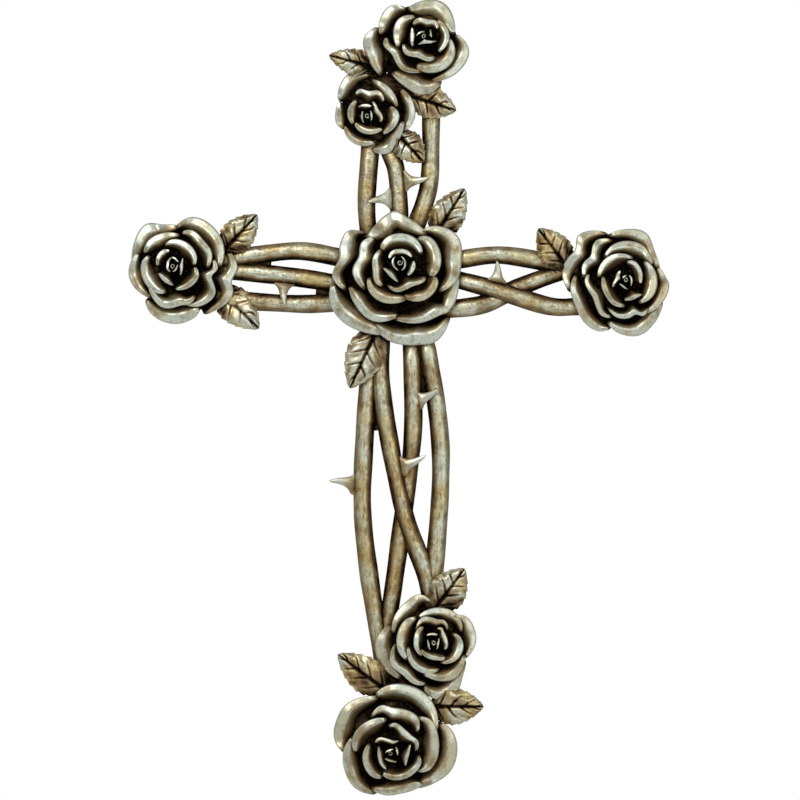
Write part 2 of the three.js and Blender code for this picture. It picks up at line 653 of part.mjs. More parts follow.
// All pieces joined, the back cut flat on the wall plane and the keyhole cut into it
function wholeCross() {
  let solid = roseSolid(ROSES[0]);
  const pieces = [
    ...ROSES.slice(1).map(roseSolid),
    ...STEMS.map(stemSolid),
    ...LEAVES.map(leafSolid),
    ...THORNS.map(thornSolid),
  ];
  pieces.forEach((piece) => {
    solid = solid.add(piece);
  });
  const behind = new THREE.BoxGeometry(CUT_SIZE, CUT_DEPTH, CUT_SIZE);
  behind.translate(0, CUT_DEPTH / 2, 0);
  const shells = solid.subtract(solidOf(behind)).subtract(keyholeCut()).decompose();
  return shells.find((shell) => shell.volume() > SMALLEST_SOLID);
}

function meshFrom(solid, name, material) {
  const { vertProperties, triVerts, numProp } = solid.getMesh();
  const flat = new Float32Array((vertProperties.length / numProp) * 3);
  for (let i = 0; i < flat.length / 3; i++) {
    flat[3 * i] = vertProperties[numProp * i];
    flat[3 * i + 1] = vertProperties[numProp * i + 1];
    flat[3 * i + 2] = vertProperties[numProp * i + 2];
  }
  const geometry = new THREE.BufferGeometry();
  geometry.setAttribute("position", new THREE.BufferAttribute(flat, 3));
  geometry.setIndex(new THREE.BufferAttribute(triVerts, 1));
  geometry.computeVertexNormals();
  const mesh = new THREE.Mesh(geometry, material);
  mesh.name = name;
  return mesh;
}

const antiqueSilver = new THREE.MeshStandardMaterial({ color: 0xb5b09a, roughness: 0.42, metalness: 0.55 });

const group = new THREE.Group();

// One casting, one solid, moved so that the hanger is the origin
const cross = meshFrom(wholeCross(), "rose_cross", antiqueSilver);
cross.position.set(-HANGER.x, 0, -HANGER.z);
group.add(cross);

export default group;
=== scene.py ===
# A wall cross of thorny rose stems with seven open roses, cast in resin and painted antique silver.
# Lengths in the tables are millimetres from the crossing of the arms, X to the right and Z up, and
# "depth" is how far a point stands out from the wall, towards -Y. Everything built is in metres.

import math

import bpy
import numpy as np
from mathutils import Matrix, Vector
from mathutils.bvhtree import BVHTree


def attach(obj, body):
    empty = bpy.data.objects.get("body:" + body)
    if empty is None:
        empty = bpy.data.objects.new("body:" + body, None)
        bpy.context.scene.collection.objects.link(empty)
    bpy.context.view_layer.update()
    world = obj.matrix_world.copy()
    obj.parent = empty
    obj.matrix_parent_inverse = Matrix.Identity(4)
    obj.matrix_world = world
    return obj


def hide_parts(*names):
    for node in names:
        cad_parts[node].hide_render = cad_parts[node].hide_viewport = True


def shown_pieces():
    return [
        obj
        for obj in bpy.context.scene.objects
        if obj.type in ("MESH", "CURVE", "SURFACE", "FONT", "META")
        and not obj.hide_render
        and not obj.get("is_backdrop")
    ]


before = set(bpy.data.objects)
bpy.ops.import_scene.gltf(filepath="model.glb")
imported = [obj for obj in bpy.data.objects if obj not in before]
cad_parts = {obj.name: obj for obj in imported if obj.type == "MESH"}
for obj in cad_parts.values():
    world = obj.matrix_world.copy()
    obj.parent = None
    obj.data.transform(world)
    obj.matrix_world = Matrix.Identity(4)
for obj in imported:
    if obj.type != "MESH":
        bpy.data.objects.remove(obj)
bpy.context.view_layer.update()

bl_info = {
    "name": "Rose Wall Cross",
    "version": (1, 0, 0),
    "blender": (4, 5, 0),
    "location": "View3D > Sidebar > Rose Cross",
    "description": "Models a cast wall cross of thorny stems, leaves and open roses in antique silver",
    "category": "Add Mesh",
}

MM = 0.001
CASTING_NODE = "rose_cross"
PIECE_NAMES = ("rose_", "stem", "thorn", "leaves")
HANGER = (0.0, 108.5)

# The keyhole in the back of the top rose, how thick the rose stays in front of it, and how far beyond its
# edge the petals and the core begin to rise over it
KEYHOLE = {"entry_z": 92.0, "entry_radius": 4.5, "neck_radius": 2.4, "rise": 7.0, "depth": 5.6, "lip": 2.2}
KEYHOLE_COVER = 0.4
KEYHOLE_SIDES = 40
BACK_OVERCUT = 1
PETAL_MARGIN = 1.2
CORE_MARGIN = 2.4

# Every form is drawn along its length from -1 to 1, and ends in two poles. Petals and stems sink under
# their neighbours over the last stretch before a pole.
POLE = 0.999
DIVE_START = 0.86
DIVE_LENGTH = 0.14

# Points round a form and loops along it, and the steps in which a stem's line is measured
DOME_GRID = (40, 20)
CURL_GRID = (12, 40)
STEM_GRID = (22, 72)
THORN_GRID = (18, 22)
LEAF_GRID = (56, 110)
LINE_STEPS = 400

# Roses: height over the radius, fall of the crests towards the edge, and the share of the radius from
# which petals reach down to the wall
HEIGHT_PER_RADIUS = 0.48
CREST_FALL = 0.48
WALL_SHARE = 0.82

# Petals: loops along them, points round a slim and a wide one, and how their rims stagger, fall and roll.
# Their backs lie at a few depths, so that no two in a ring share a plane.
LOOPS_PER_MM = 1.1
LOOP_RANGE = (14, 40)
WIDE_BAND = 2
SLIM_POINTS = 16
WIDE_POINTS = 24
STAGGER = 0.4
END_FALL = 0.1
END_RISE = 1.0
EDGE_FALL = 0.2
ROLL_FALL = 0.3
ROOT_DEPTH = 1.2
LEAST_WALL = 0.4
LIP_THICKNESS = 1.3
THIN_LIP = 0.9
FOOT_SHARES = (0.74, 0.55)
PETAL_BACK = 0.3
PETAL_BACK_STEP = 0.04
PETAL_BACKS = 7
# How a petal's inner slope darkens from its band down to its foot under the next inner petal: painted shade
# with dark wash
PAINTED_SLOPE_SHADE = ((-0.9, -0.3, 0, 0.25, 0.6, 1), (1, 0.86, 0.64, 0.42, 0.22, 0.03))
CURL_TURNS = 1.15
CURL_WALL = 0.24

# Stems: straight sides and a round front as shares of the depth, how far the ends dip, and the depths of
# their backs
SIDE_SHARE = 0.42
ROUND_SHARE = 0.58
STEM_DIP = 0.4
STEM_BACK = 0.03
STEM_BACK_STEP = 0.02

# Leaves: teeth along one side, how deep they are, and side veins
TEETH = 7.5
TOOTH_DEPTH = 0.6
SIDE_VEINS = 4.3

# Wear of the paint where it doesn't follow the relief, and painted shade on the low webs in narrow gaps
BACK_WEAR = 0.45
LEAF_BACK_WEAR = 0.4
PAINTED_WEB_SHADE = 0.2

# Recesses: how far off the surface a ray starts, in metres, and the least that it has to face outwards
RAY_START = 0.00012
LEAST_FACING = 0.08

# Edges that turn by more than this stay sharp
CREASE_DEGREES = 50

# Paint: tones from the deepest recess, where dark wash and painted shade lie, up to the rims, the shares in
# which openness, relief and bulge set the tone, the scales of the mottling, and the brown of its specks and
# streaks
TONES = (
    (0.24, (0.002, 0.0015, 0.001)),
    (0.38, (0.018, 0.01, 0.003)),
    (0.52, (0.095, 0.058, 0.019)),
    (0.66, (0.24, 0.175, 0.08)),
    (0.8, (0.37, 0.33, 0.215)),
)
RIM_PLACE = 0.96
OPEN_SHARE = 0.4
RELIEF_SHARE = 0.6
BULGE_SHARE = 0.4
PATCH_SCALE = 110
SPECK_SCALE = 1000
GOLD_SCALE = 75
SPECK_BROWN = (0.09, 0.055, 0.022)
STREAK_BROWN = (0.12, 0.075, 0.024)
STEM_TINT = (1.0, 0.96, 0.86)
GRAIN_STRETCH = (1.0, 0.6, 0.2)

# Stage, in metres but for the last two: the floor, the lights as name, place, size and power, and what the
# photo spans. The height of the photo's middle is in the tables' millimetres, the sensor in its own.
FLOOR_SIZE = 1.6
FLOOR_HEIGHT = -0.5
LIGHTS = (
    ("key", (-0.5, -1.3, 0.7), 0.55, 13),
    ("fill", (0.7, -1.2, 0.1), 0.8, 4),
    ("low", (-0.2, -1.2, -1.0), 0.8, 2.5),
)
LIGHT_TARGET = (0, 0, -0.13)
CAMERA_DISTANCE = 2.4
PHOTO_WIDTH = 0.3424
PHOTO_MIDDLE = -51.4
SENSOR_WIDTH = 36

# Each petal is the width of its rolled band, then the places that its rim passes, as (azimuth, reach):
# degrees round the bud, 0 to the right and 90 up, and the distance from the middle of the bud. Rings
# run from the outermost to the innermost.
ROSES = {
    "top_large": {
        "bud": (10.3, 103.4), "middle": (6.7, 99.1), "radius": 21.6, "core": 1.1,
        "rings": (
            (
                (6, (123, 14), (95, 15.5), (62, 17), (30, 14.8), (4, 13)),
                (4.2, (122, 15), (138, 19.8), (160, 20.3), (178, 19)),
                (5.2, (167, 21), (182, 26), (203, 25.8), (223, 25)),
                (6, (227, 21), (250, 23), (271, 25.1), (292, 21)),
                (4.2, (6, 14), (-16, 20), (-45, 20.8), (-84, 19.5)),
            ),
            (
                (3.8, (112, 9.6), (145, 13.2), (177, 13.2), (206, 12.4)),
                (2.9, (180, 16.4), (192, 17.7), (210, 15.8), (238, 17.2), (270, 15)),
                (4.8, (0, 10.8), (-28, 15), (-54, 16.4), (-84, 15.6), (-108, 13.6)),
            ),
            (
                (2.7, (197, 9.8), (222, 11.2), (253, 9.6), (282, 11), (300, 10.3)),
                (2.5, (54, 9.2), (25, 10.3), (-8, 10.7), (-52, 9.2)),
                (2.6, (138, 7), (110, 8.3), (77, 7.4), (50, 8.5), (27, 6.8)),
            ),
            (
                (1.8, (138, 6.6), (170, 6), (200, 6.3), (226, 7)),
                (1.8, (228, 4.9), (255, 3.6), (285, 3.4), (322, 4.6), (340, 6)),
            ),
            (
                (0.8, (185, 3.4), (150, 2.9), (115, 2.3), (80, 1.9)),
                (0.8, (52, 4), (30, 3.5), (5, 3.2), (-12, 3.4)),
            ),
        ),
    },
    "top_small": {
        "bud": (-14, 69.7), "middle": (-10.3, 71.7), "radius": 17.8, "core": 1.1,
        "rings": (
            (
                (4.4, (150, 14.6), (132, 17.6), (110, 20), (84, 18.2)),
                (3, (84, 15.8), (65, 15.6), (40, 15), (14, 13.6)),
                (3.4, (40, 18.8), (24, 20.4), (0, 20.5), (-26, 17.2)),
                (4.4, (-84, 14.8), (-62, 18.2), (-38, 17.2), (-6, 16)),
                (2.8, (200, 10.8), (228, 12.5), (258, 13), (288, 12)),
                (3.2, (150, 13.8), (172, 13.7), (192, 13.6), (208, 12)),
            ),
            (
                (2.4, (120, 10.6), (106, 11.9), (86, 10.5), (62, 11.8), (38, 9.4)),
                (2.8, (122, 8.2), (150, 8.7), (182, 8.3), (214, 7.2)),
                (3.3, (24, 11), (4, 13.6), (-18, 13.1), (-52, 10.4)),
                (2.6, (207, 6.2), (235, 7.2), (266, 7.8), (300, 8.6), (322, 9)),
            ),
            (
                (1.9, (76, 6.8), (50, 6.1), (30, 5.5), (6, 6.3), (-12, 6.9), (-30, 6.4)),
                (1.3, (140, 5.4), (112, 5.1), (86, 4.8), (60, 4.4)),
            ),
            (
                (0.8, (130, 2.6), (165, 2.6), (215, 2.9), (252, 3.7)),
                (0.8, (58, 2.6), (20, 2.3), (-20, 2.4), (-62, 3.1)),
            ),
        ),
    },
    "left": {
        "bud": (-96.5, 5.5), "middle": (-92.5, 3.6), "radius": 23.3, "core": 1.1,
        "rings": (
            (
                (5.4, (176, 18), (150, 19.8), (124, 21.8), (104, 18.6), (80, 17.6)),
                (5, (88, 17), (70, 22.6), (46, 24), (20, 23), (-2, 20)),
                (4.8, (18, 24.6), (0, 27.2), (-14, 25.6), (-28, 28), (-58, 24.4)),
                (5.2, (229, 19), (246, 22.6), (270, 24.5), (292, 23.6), (303, 21.4)),
                (4, (156, 16.6), (184, 19.4), (204, 19.3), (238, 16.6)),
            ),
            (
                (3.6, (158, 14), (134, 15.5), (106, 15), (76, 13.8)),
                (3.2, (78, 15), (62, 17.4), (40, 17), (18, 17.4), (-5, 14.8)),
                (3.4, (12, 17.6), (-2, 19), (-16, 17), (-34, 21.4), (-56, 20.4), (-75, 16.8)),
                (3.4, (216, 13.4), (236, 16), (256, 18.2), (280, 17), (294, 17.5), (308, 16)),
                (3.6, (154, 11.6), (174, 13.8), (210, 14.1), (236, 13.6), (256, 11.8)),
            ),
            (
                (2.8, (114, 10), (90, 11.6), (52, 11.6), (22, 10.9), (-1, 9.2)),
                (2.1, (100, 7), (124, 8.3), (150, 8.1), (182, 6.9)),
                (2.6, (0, 9.6), (-20, 11.7), (-50, 11.5), (-88, 10)),
                (2, (203, 7), (226, 7.3), (250, 7.8), (274, 8.4)),
            ),
            (
                (1.3, (45, 5.8), (15, 4.4), (-20, 4.4), (-58, 5.2)),
                (1.1, (95, 3.9), (130, 3.4), (170, 2.9), (215, 3), (250, 2.6)),
                (0.8, (115, 3.6), (90, 4), (60, 3.4), (35, 3)),
                (0.7, (25, 2.3), (-20, 2), (-60, 2.3), (-100, 2.4)),
            ),
        ),
    },
    "centre": {
        "bud": (-0.1, 7), "middle": (-2.3, 0.3), "radius": 28.8, "core": 1.3,
        "rings": (
            (
                (6.4, (246, 28.6), (262, 33.6), (282, 35.8), (296, 36.8), (314, 31.6)),
                (6, (196, 30.5), (210, 34.4), (226, 35), (246, 33), (258, 31.5)),
                (4.5, (-4, 24.5), (-22, 27.2), (-38, 29.2), (-50, 28.5)),
            ),
            (
                (7.2, (146, 17.6), (124, 19.2), (108, 21.2), (95, 22.4), (78, 19.6), (42, 16.6)),
                (5.6, (58, 16.8), (44, 22.8), (24, 27.4), (2, 26.4), (-16, 25.6), (-38, 21)),
                (5.2, (138, 20), (148, 26), (162, 26.8), (176, 26), (192, 29.4), (208, 26)),
                (4.2, (204, 24), (222, 26), (246, 27.3), (270, 22.8)),
                (4, (262, 24), (286, 26.8), (306, 28), (316, 29.4), (324, 27)),
            ),
            (
                (4.6, (56, 13.2), (40, 17), (14, 17.8), (-10, 17.1), (-27, 15)),
                (4.6, (134, 16), (152, 18.4), (172, 17.7), (192, 20.6), (220, 19)),
                (3.8, (204, 15.2), (222, 17.8), (244, 18.5), (268, 17.2), (284, 15.6)),
                (3.8, (274, 14.6), (292, 17.9), (310, 19.4), (330, 18.8), (340, 16.5)),
            ),
            (
                (4, (150, 9.8), (122, 12), (90, 12.5), (54, 12.3), (18, 10.4)),
                (2.9, (142, 10), (168, 11.5), (196, 12), (220, 13.5), (236, 12.6)),
                (2.4, (238, 11), (262, 12.6), (284, 11.8), (300, 11.6), (322, 13.2), (332, 12.6)),
            ),
            (
                (2.2, (165, 5), (130, 6), (94, 5.8), (54, 6.2), (18, 5.9)),
                (1.7, (195, 7.6), (220, 7.1), (247, 7.7), (268, 8.6)),
                (1.8, (10, 6), (-12, 6.9), (-38, 7), (-62, 6.6)),
                (0.8, (120, 3.2), (170, 3.5), (220, 3.3), (265, 3.6)),
                (0.8, (275, 3.6), (310, 3.3), (350, 2.7), (405, 2.6), (450, 2.9)),
            ),
        ),
    },
    "right": {
        "bud": (95.9, -0.4), "middle": (92, -1), "radius": 23.2, "core": 1.1,
        "rings": (
            (
                (4.4, (112, 20.8), (88, 22), (66, 22.3), (44, 17.8), (16, 15.6)),
                (
                    4.8,
                    (109, 21.5), (126, 26.2), (137, 27.6), (148, 25), (163, 26.8), (176, 26.8), (192, 24.4),
                ),
                (3.8, (172, 21.4), (188, 23.6), (206, 23.8), (228, 25), (243, 24.4), (254, 21.6)),
                (5, (246, 19.6), (264, 22.8), (285, 24.3), (304, 22.3), (320, 20.2), (332, 18.6)),
                (3.6, (24, 15.4), (6, 17.4), (-8, 19.2), (-36, 18.4), (-62, 16.6)),
            ),
            (
                (3.8, (134, 13.4), (112, 15.8), (88, 16.8), (62, 16.8), (46, 15.2), (26, 13.8)),
                (3.6, (106, 18), (122, 20.8), (132, 20.4), (145, 18.1), (160, 19.4), (178, 18)),
                (2.6, (168, 16), (182, 17.3), (206, 15.7), (222, 16.8), (236, 18.2), (252, 17)),
                (2.5, (236, 14), (256, 16.2), (274, 16.3), (287, 15.3), (298, 17.1), (312, 15.6)),
                (3.8, (48, 11.8), (22, 13.3), (-8, 13.9), (-34, 13.5), (-62, 11.4)),
            ),
            (
                (2.8, (176, 11.8), (156, 12.5), (128, 12.5), (100, 11.6), (66, 10)),
                (2.5, (168, 10), (190, 10.5), (220, 10.9), (248, 11.9), (272, 11.2)),
                (2.2, (88, 8), (66, 9), (40, 8.3), (8, 7.4), (-16, 6.8)),
                (1.9, (264, 8.6), (284, 8.9), (304, 9), (322, 9.5)),
            ),
            (
                (1.8, (112, 4.8), (142, 4.7), (172, 4.5), (198, 5.9), (212, 6.6)),
                (0.8, (60, 2.5), (20, 2.9), (-20, 3), (-55, 3.6)),
                (0.7, (150, 1.7), (110, 2), (75, 2.1)),
                (0.8, (205, 3.2), (235, 3.2), (262, 3.6), (286, 4.2)),
            ),
        ),
    },
    "bottom_small": {
        "bud": (14.2, -154.9), "middle": (10.8, -156), "radius": 21.4, "core": 1.1,
        "rings": (
            (
                (3.8, (168, 18), (148, 20), (124, 21), (106, 21.4), (90, 17.6)),
                (3.6, (54, 14.8), (38, 18), (18, 18.6), (-2, 18.1), (-28, 15.4)),
                (5.8, (156, 19.8), (174, 24.2), (190, 25), (206, 24.1), (230, 21)),
                (5.5, (256, 19.5), (268, 23.6), (282, 25.2), (297, 23.2), (312, 19), (332, 16)),
            ),
            (
                (3.2, (122, 13), (100, 14.4), (66, 15.8), (44, 15.6), (18, 13)),
                (3.8, (122, 13.4), (142, 15.6), (172, 15.8), (194, 15.3), (214, 13.6)),
                (3, (180, 16.4), (196, 19.2), (208, 20.4), (226, 19), (246, 19.4), (262, 18)),
                (3.8, (250, 14), (268, 15.4), (286, 17), (302, 17.8), (322, 16.3), (342, 14.4)),
            ),
            (
                (2.4, (148, 9), (122, 11.5), (108, 11.9), (82, 10.3), (62, 10.7), (38, 8.2)),
                (2.3, (118, 8.4), (138, 9.1), (170, 8.5), (200, 8.2), (234, 7.2)),
                (2.6, (186, 11.2), (206, 12.4), (232, 13.5), (262, 13.3), (286, 11.4)),
                (3, (28, 9.6), (10, 12), (-12, 13), (-40, 12), (-74, 8.8)),
            ),
            (
                (1.8, (80, 6.4), (62, 7.6), (42, 6.5), (8, 6.2), (-14, 6.3), (-34, 5.6)),
                (2.2, (200, 6.2), (226, 6.6), (254, 6.8), (282, 7.4), (300, 8.4), (312, 8)),
                (1, (134, 4.6), (96, 4.5), (62, 4.2)),
                (0.8, (142, 3.1), (172, 2.6), (208, 2.6), (251, 3.3)),
                (0.8, (50, 3.4), (10, 2.5), (-30, 2.5), (-68, 3)),
            ),
        ),
    },
    "bottom_large": {
        "bud": (-4.1, -201.8), "middle": (-2, -196.5), "radius": 25, "core": 1.1,
        "rings": (
            (
                (5.6, (181, 20), (166, 24.8), (148, 27), (130, 27.8), (100, 24.6)),
                (5.2, (106, 25.8), (90, 29.2), (66, 29.8), (46, 27.4), (24, 22)),
                (6, (33, 25), (18, 28.2), (0, 28.6), (-18, 26.8), (-36, 22.6), (-54, 19)),
                (4.4, (240, 17.6), (262, 18.3), (284, 18), (306, 19), (318, 19.4)),
                (4.6, (156, 17.8), (176, 20), (200, 21), (226, 21.4), (252, 19.2)),
            ),
            (
                (4, (120, 17.6), (102, 20.8), (86, 19.5), (62, 19.8), (50, 18.9), (36, 15)),
                (3.6, (94, 15), (116, 16.5), (146, 17.5), (164, 17), (180, 15.2)),
                (4.4, (54, 19.6), (38, 22.5), (16, 21.4), (-8, 20), (-24, 18), (-36, 14)),
                (3.1, (154, 10.2), (178, 11.6), (206, 12.4), (232, 12.7), (254, 11.2)),
            ),
            (
                (2.6, (96, 12), (80, 13.3), (60, 12.1), (40, 12), (22, 13), (2, 11)),
                (2.8, (-2, 12.4), (-18, 13.8), (-40, 13.2), (-70, 12), (-100, 10.6), (-112, 9.4)),
            ),
            (
                (1.7, (148, 8.2), (126, 8.5), (102, 6.7), (76, 5.8), (52, 7)),
                (1.7, (142, 6.2), (172, 5.5), (204, 5.6), (236, 6.6), (260, 7.2)),
                (1.6, (28, 9.8), (8, 8.4), (-18, 7.8), (-44, 8.6)),
                (0.8, (176, 2.4), (130, 2.1), (90, 2.1), (50, 2.6)),
                (0.8, (56, 4), (20, 3.5), (-14, 3.3)),
                (0.8, (216, 3.1), (250, 3.2), (282, 3.5), (312, 4.6)),
            ),
        ),
    },
}

# Stems, and low webs that fill narrow gaps and carry painted shade there: depth of the front at both
# ends and between, then the middle line as (x, z)
STEMS = {
    "up_left": ((5.6, 7.6, 7), ((-12.5, 61), (-12.8, 55), (-14.3, 33), (-13.2, 17))),
    "up_middle": ((5.6, 7.8, 7), ((-5.9, 60.5), (-4.6, 55.5), (-1.7, 47.1), (-0.5, 34), (-0.2, 20))),
    "up_right": ((7, 7.6, 7), ((13.5, 84), (13.3, 69.3), (12.8, 44.9), (10.5, 33), (5, 19))),
    "top_web": ((5, 5.4, 5), ((-15, 88.5), (-6.5, 84.5), (6, 79.5))),
    "low_web": ((5, 5.4, 5), ((-8, -167), (2, -172), (13, -176.5))),
    "left_high_web": ((4, 4.4, 4), ((-72, 7), (-64, 7.2), (-55, 7.4))),
    "left_low_web": ((4, 4.4, 4), ((-36, -4.6), (-31, -5.2), (-25, -6))),
    "down_left_web": ((4, 4.4, 4), ((-10.8, -48), (-10.6, -56), (-10.8, -64.5))),
    "down_right_web": ((4, 4.4, 4), ((8.6, -33), (9.8, -43), (10.8, -52))),
    "left_top": ((7, 7.6, 7), ((-78, 8), (-63.4, 10.3), (-42.8, 12.3), (-23, 9))),
    "left_middle": ((7, 8, 7), ((-78, 3.6), (-68.9, 3.5), (-46.4, 1.3), (-24, -2))),
    "left_low": ((7, 7.4, 7), ((-79, -6.5), (-70.6, -8.6), (-42.8, -10.3), (-25, -9.6))),
    "right_top": ((7, 7.4, 7), ((20, 7.5), (26.3, 8.8), (43.9, 10.5), (68.5, 6.4), (77, 4.5))),
    "right_front": (
        (7.4, 9.4, 7.4),
        ((20, 0.6), (24.8, 0), (41.9, -4.6), (63, -11.1), (74.4, -11.5), (79, -11)),
    ),
    "right_behind": (
        (6.8, 6.6, 6.8),
        ((19, -12.4), (22.3, -12.4), (36.2, -10.3), (50.4, -3.4), (68.5, 3.4), (76, 5.4)),
    ),
    "down_left": (
        (7, 7.8, 5),
        (
            (-12, -24), (-12.8, -30), (-15, -65.4), (-16.1, -96.7),
            (-13.3, -125.5), (-8.1, -158.4), (-6.5, -174),
        ),
    ),
    "down_front": (
        (7, 9.6, 7.6),
        ((-8, -24), (-7.9, -46.2), (-2.9, -77.9), (2.8, -103), (10.8, -125.4), (14, -141)),
    ),
    "down_behind": (
        (7, 6.6, 5),
        ((4.6, -24), (5.6, -46.5), (5.3, -68.5), (1.7, -98.4), (-3, -132.6), (-6.2, -154), (-7.6, -172)),
    ),
    "down_right": (
        (7, 7.6, 7.2),
        ((9.8, -24), (12.5, -33.9), (16.9, -65.4), (17.2, -90.5), (14.6, -125.4), (13.2, -141)),
    ),
}

# Thorns: foot and tip as (x, depth, z)
THORNS = (
    ((0.6, 5.6, 42.2), (12.3, 8.4, 42.9)),
    ((-2.6, 5.6, 34.3), (-13.8, 8.4, 33.5)),
    ((-48.9, 5.6, 0), (-49.7, 8.2, -11)),
    ((40.5, 6.6, -2.4), (41.9, 7.4, 8)),
    ((-18, 5, -87.9), (-30.2, 6.4, -85.4)),
    ((-1, 7, -80), (11.3, 9.2, -75.4)),
    ((6, 5.2, -51.7), (16.3, 9.4, -47.5)),
)

# Leaves: foot and tip as (x, z), half width, and the depth of the blade at foot and tip
LEAVES = {
    "top_left": ((-9, 90), (-30.3, 95.7), 6, (6.5, 8.5)),
    "top_right": ((4, 78.5), (24, 72), 7.2, (7.2, 9.5)),
    "top_low": ((-1.5, 62.5), (10.1, 50), 6.6, (8.4, 9.8)),
    "left_high": ((-76, 11.5), (-60.9, 27.7), 7.4, (8, 9)),
    "left_low": ((-78, -3.5), (-60.2, -21), 8, (4.6, 9)),
    "centre_high": ((14.5, 18), (27.6, 38.8), 7.6, (7, 9.6)),
    "centre_low": ((-9.5, -20.5), (-21.4, -46.4), 8.6, (9, 9.6)),
    "right": ((72, 4.5), (59, 21.8), 7.6, (8, 9)),
    "bottom_high": ((14.5, -141), (27.5, -123.3), 8.4, (8.6, 9.6)),
    "bottom_left": ((-5, -176), (-26.5, -159.9), 8, (8, 8.6)),
    "bottom_right": ((12.5, -182), (35.7, -182.2), 8.2, (8, 8.6)),
}


def settings():
    return bpy.context.scene.rose_cross


def in_mm(length):
    """A length from the settings, which are in metres, in the millimetres of the tables."""
    return length / MM


def row_frame(x, depth, z):
    """Millimetres from the crossing of the arms to metres from the hanger."""
    return np.stack([(x - HANGER[0]) * MM, -depth * MM, (z - HANGER[1]) * MM], axis=-1)


def spun_form(name, around, along):
    """A UV sphere and, for each vertex, its place along the axis (-1 to 1) and round it (0 to 1)."""
    bpy.ops.object.select_all(action="DESELECT")
    bpy.ops.mesh.primitive_uv_sphere_add(segments=around, ring_count=along, radius=1)
    form = bpy.context.object
    form.name = form.data.name = name
    places = np.empty(len(form.data.vertices) * 3)
    form.data.vertices.foreach_get("co", places)
    places = places.reshape(-1, 3)
    latitude = np.arccos(np.clip(places[:, 2], -1, 1)) / math.pi
    u = 2 * np.round(latitude * along) / along - 1
    t = np.mod(np.round(np.arctan2(places[:, 1], places[:, 0]) / (2 * math.pi) * around), around) / around
    return form, u, t


def set_places(form, places):
    form.data.vertices.foreach_set("co", places.astype(np.float32).ravel())
    form.data.update()


def at_poles(u):
    return np.abs(u) > POLE


def end_dive(u):
    """0 along most of a form, rising to 1 at both of its ends."""
    return np.clip((np.abs(u) - DIVE_START) / DIVE_LENGTH, 0, 1) ** 2


def catmull_rom(p0, p1, p2, p3, f):
    """The curve between p1 and p2, at the shares f of the way."""
    return 0.5 * (
        2 * p1 + (p2 - p0) * f + (2 * p0 - 5 * p1 + 4 * p2 - p3) * f**2 + (3 * p1 - p0 - 3 * p2 + p3) * f**3
    )


def closed_curve(controls, t):
    """Catmull-Rom loop: controls is (count, points, 2) and t (points,) from 0 to 1."""
    count = len(controls)
    place = t * count
    start = np.floor(place).astype(int)
    f = (place - start)[:, None]
    rows = np.arange(len(t))
    return catmull_rom(*(controls[(start + k) % count, rows] for k in (-1, 0, 1, 2)), f)


def smooth_line(points, place):
    """Catmull-Rom line through points, at places counted in points from 0."""
    points = np.array(points, dtype=float)
    ends = np.vstack([2 * points[0] - points[1], points, 2 * points[-1] - points[-2]])
    start = np.minimum(place.astype(int), len(points) - 2)
    f = (place - start)[:, None]
    return catmull_rom(*(ends[start + k] for k in range(4)), f)


def even_line(points, v):
    """The same line at v from 0 to 1 by equal steps of length, with its direction and length so far."""
    line = smooth_line(points, np.linspace(0, len(points) - 1, LINE_STEPS))
    reach = np.concatenate([[0], np.cumsum(np.linalg.norm(np.diff(line, axis=0), axis=1))])
    wanted = v * reach[-1]
    places = np.stack([np.interp(wanted, reach, line[:, k]) for k in range(2)], axis=-1)
    slopes = np.gradient(line, axis=0)
    slopes /= np.linalg.norm(slopes, axis=1)[:, None]
    along = np.stack([np.interp(wanted, reach, slopes[:, k]) for k in range(2)], axis=-1)
    return places, along / np.linalg.norm(along, axis=1)[:, None], wanted


def join(forms, name):
    """Joins objects into one mesh with that name."""
    bpy.ops.object.select_all(action="DESELECT")
    for form in forms:
        form.select_set(True)
    bpy.context.view_layer.objects.active = forms[0]
    if len(forms) > 1:
        bpy.ops.object.join()
    whole = bpy.context.view_layer.objects.active
    whole.name = whole.data.name = name
    return whole


def out_facing(form):
    """Turns the faces of a closed form outwards."""
    bpy.ops.object.select_all(action="DESELECT")
    form.select_set(True)
    bpy.context.view_layer.objects.active = form
    bpy.ops.object.mode_set(mode="EDIT")
    bpy.ops.mesh.select_all(action="SELECT")
    bpy.ops.mesh.normals_make_consistent(inside=False)
    bpy.ops.object.mode_set(mode="OBJECT")


def set_attribute(form, name, values):
    layer = form.data.attributes.new(name, "FLOAT_VECTOR", "POINT")
    layer.data.foreach_set("vector", values.astype(np.float32).ravel())


def set_relief(form, share):
    """How far out of the recesses each vertex stands, from 0 where dark wash and painted shade lie to 1 on a
    crest.
    """
    layer = form.data.attributes.new("relief", "FLOAT", "POINT")
    layer.data.foreach_set("value", np.clip(share, 0, 1).astype(np.float32))


def rose_height(rose):
    return in_mm(settings().rose_base_height) + HEIGHT_PER_RADIUS * rose["radius"]


def crest_height(rose, share):
    return rose_height(rose) * (1 - CREST_FALL * share * share)


def valley_height(rose, share):
    return crest_height(rose, share) - settings().valley_share * rose_height(rose)


def lean_at(rose, azimuth):
    """How much further the same ring reaches at that azimuth, because the rose is tilted."""
    dx = rose["middle"][0] - rose["bud"][0]
    dz = rose["middle"][1] - rose["bud"][1]
    return dx * np.cos(np.radians(azimuth)) + dz * np.sin(np.radians(azimuth))


def clear_of_keyhole(x, depth, z, margin):
    """Depths that stay in front of the keyhole's room, where the places lie over it or nearly so."""
    nearest = np.clip(z, KEYHOLE["entry_z"], KEYHOLE["entry_z"] + KEYHOLE["rise"])
    over = np.hypot(x, z - nearest) < KEYHOLE["entry_radius"] + margin
    return np.where(over, np.maximum(depth, KEYHOLE["depth"] + KEYHOLE_COVER), depth)


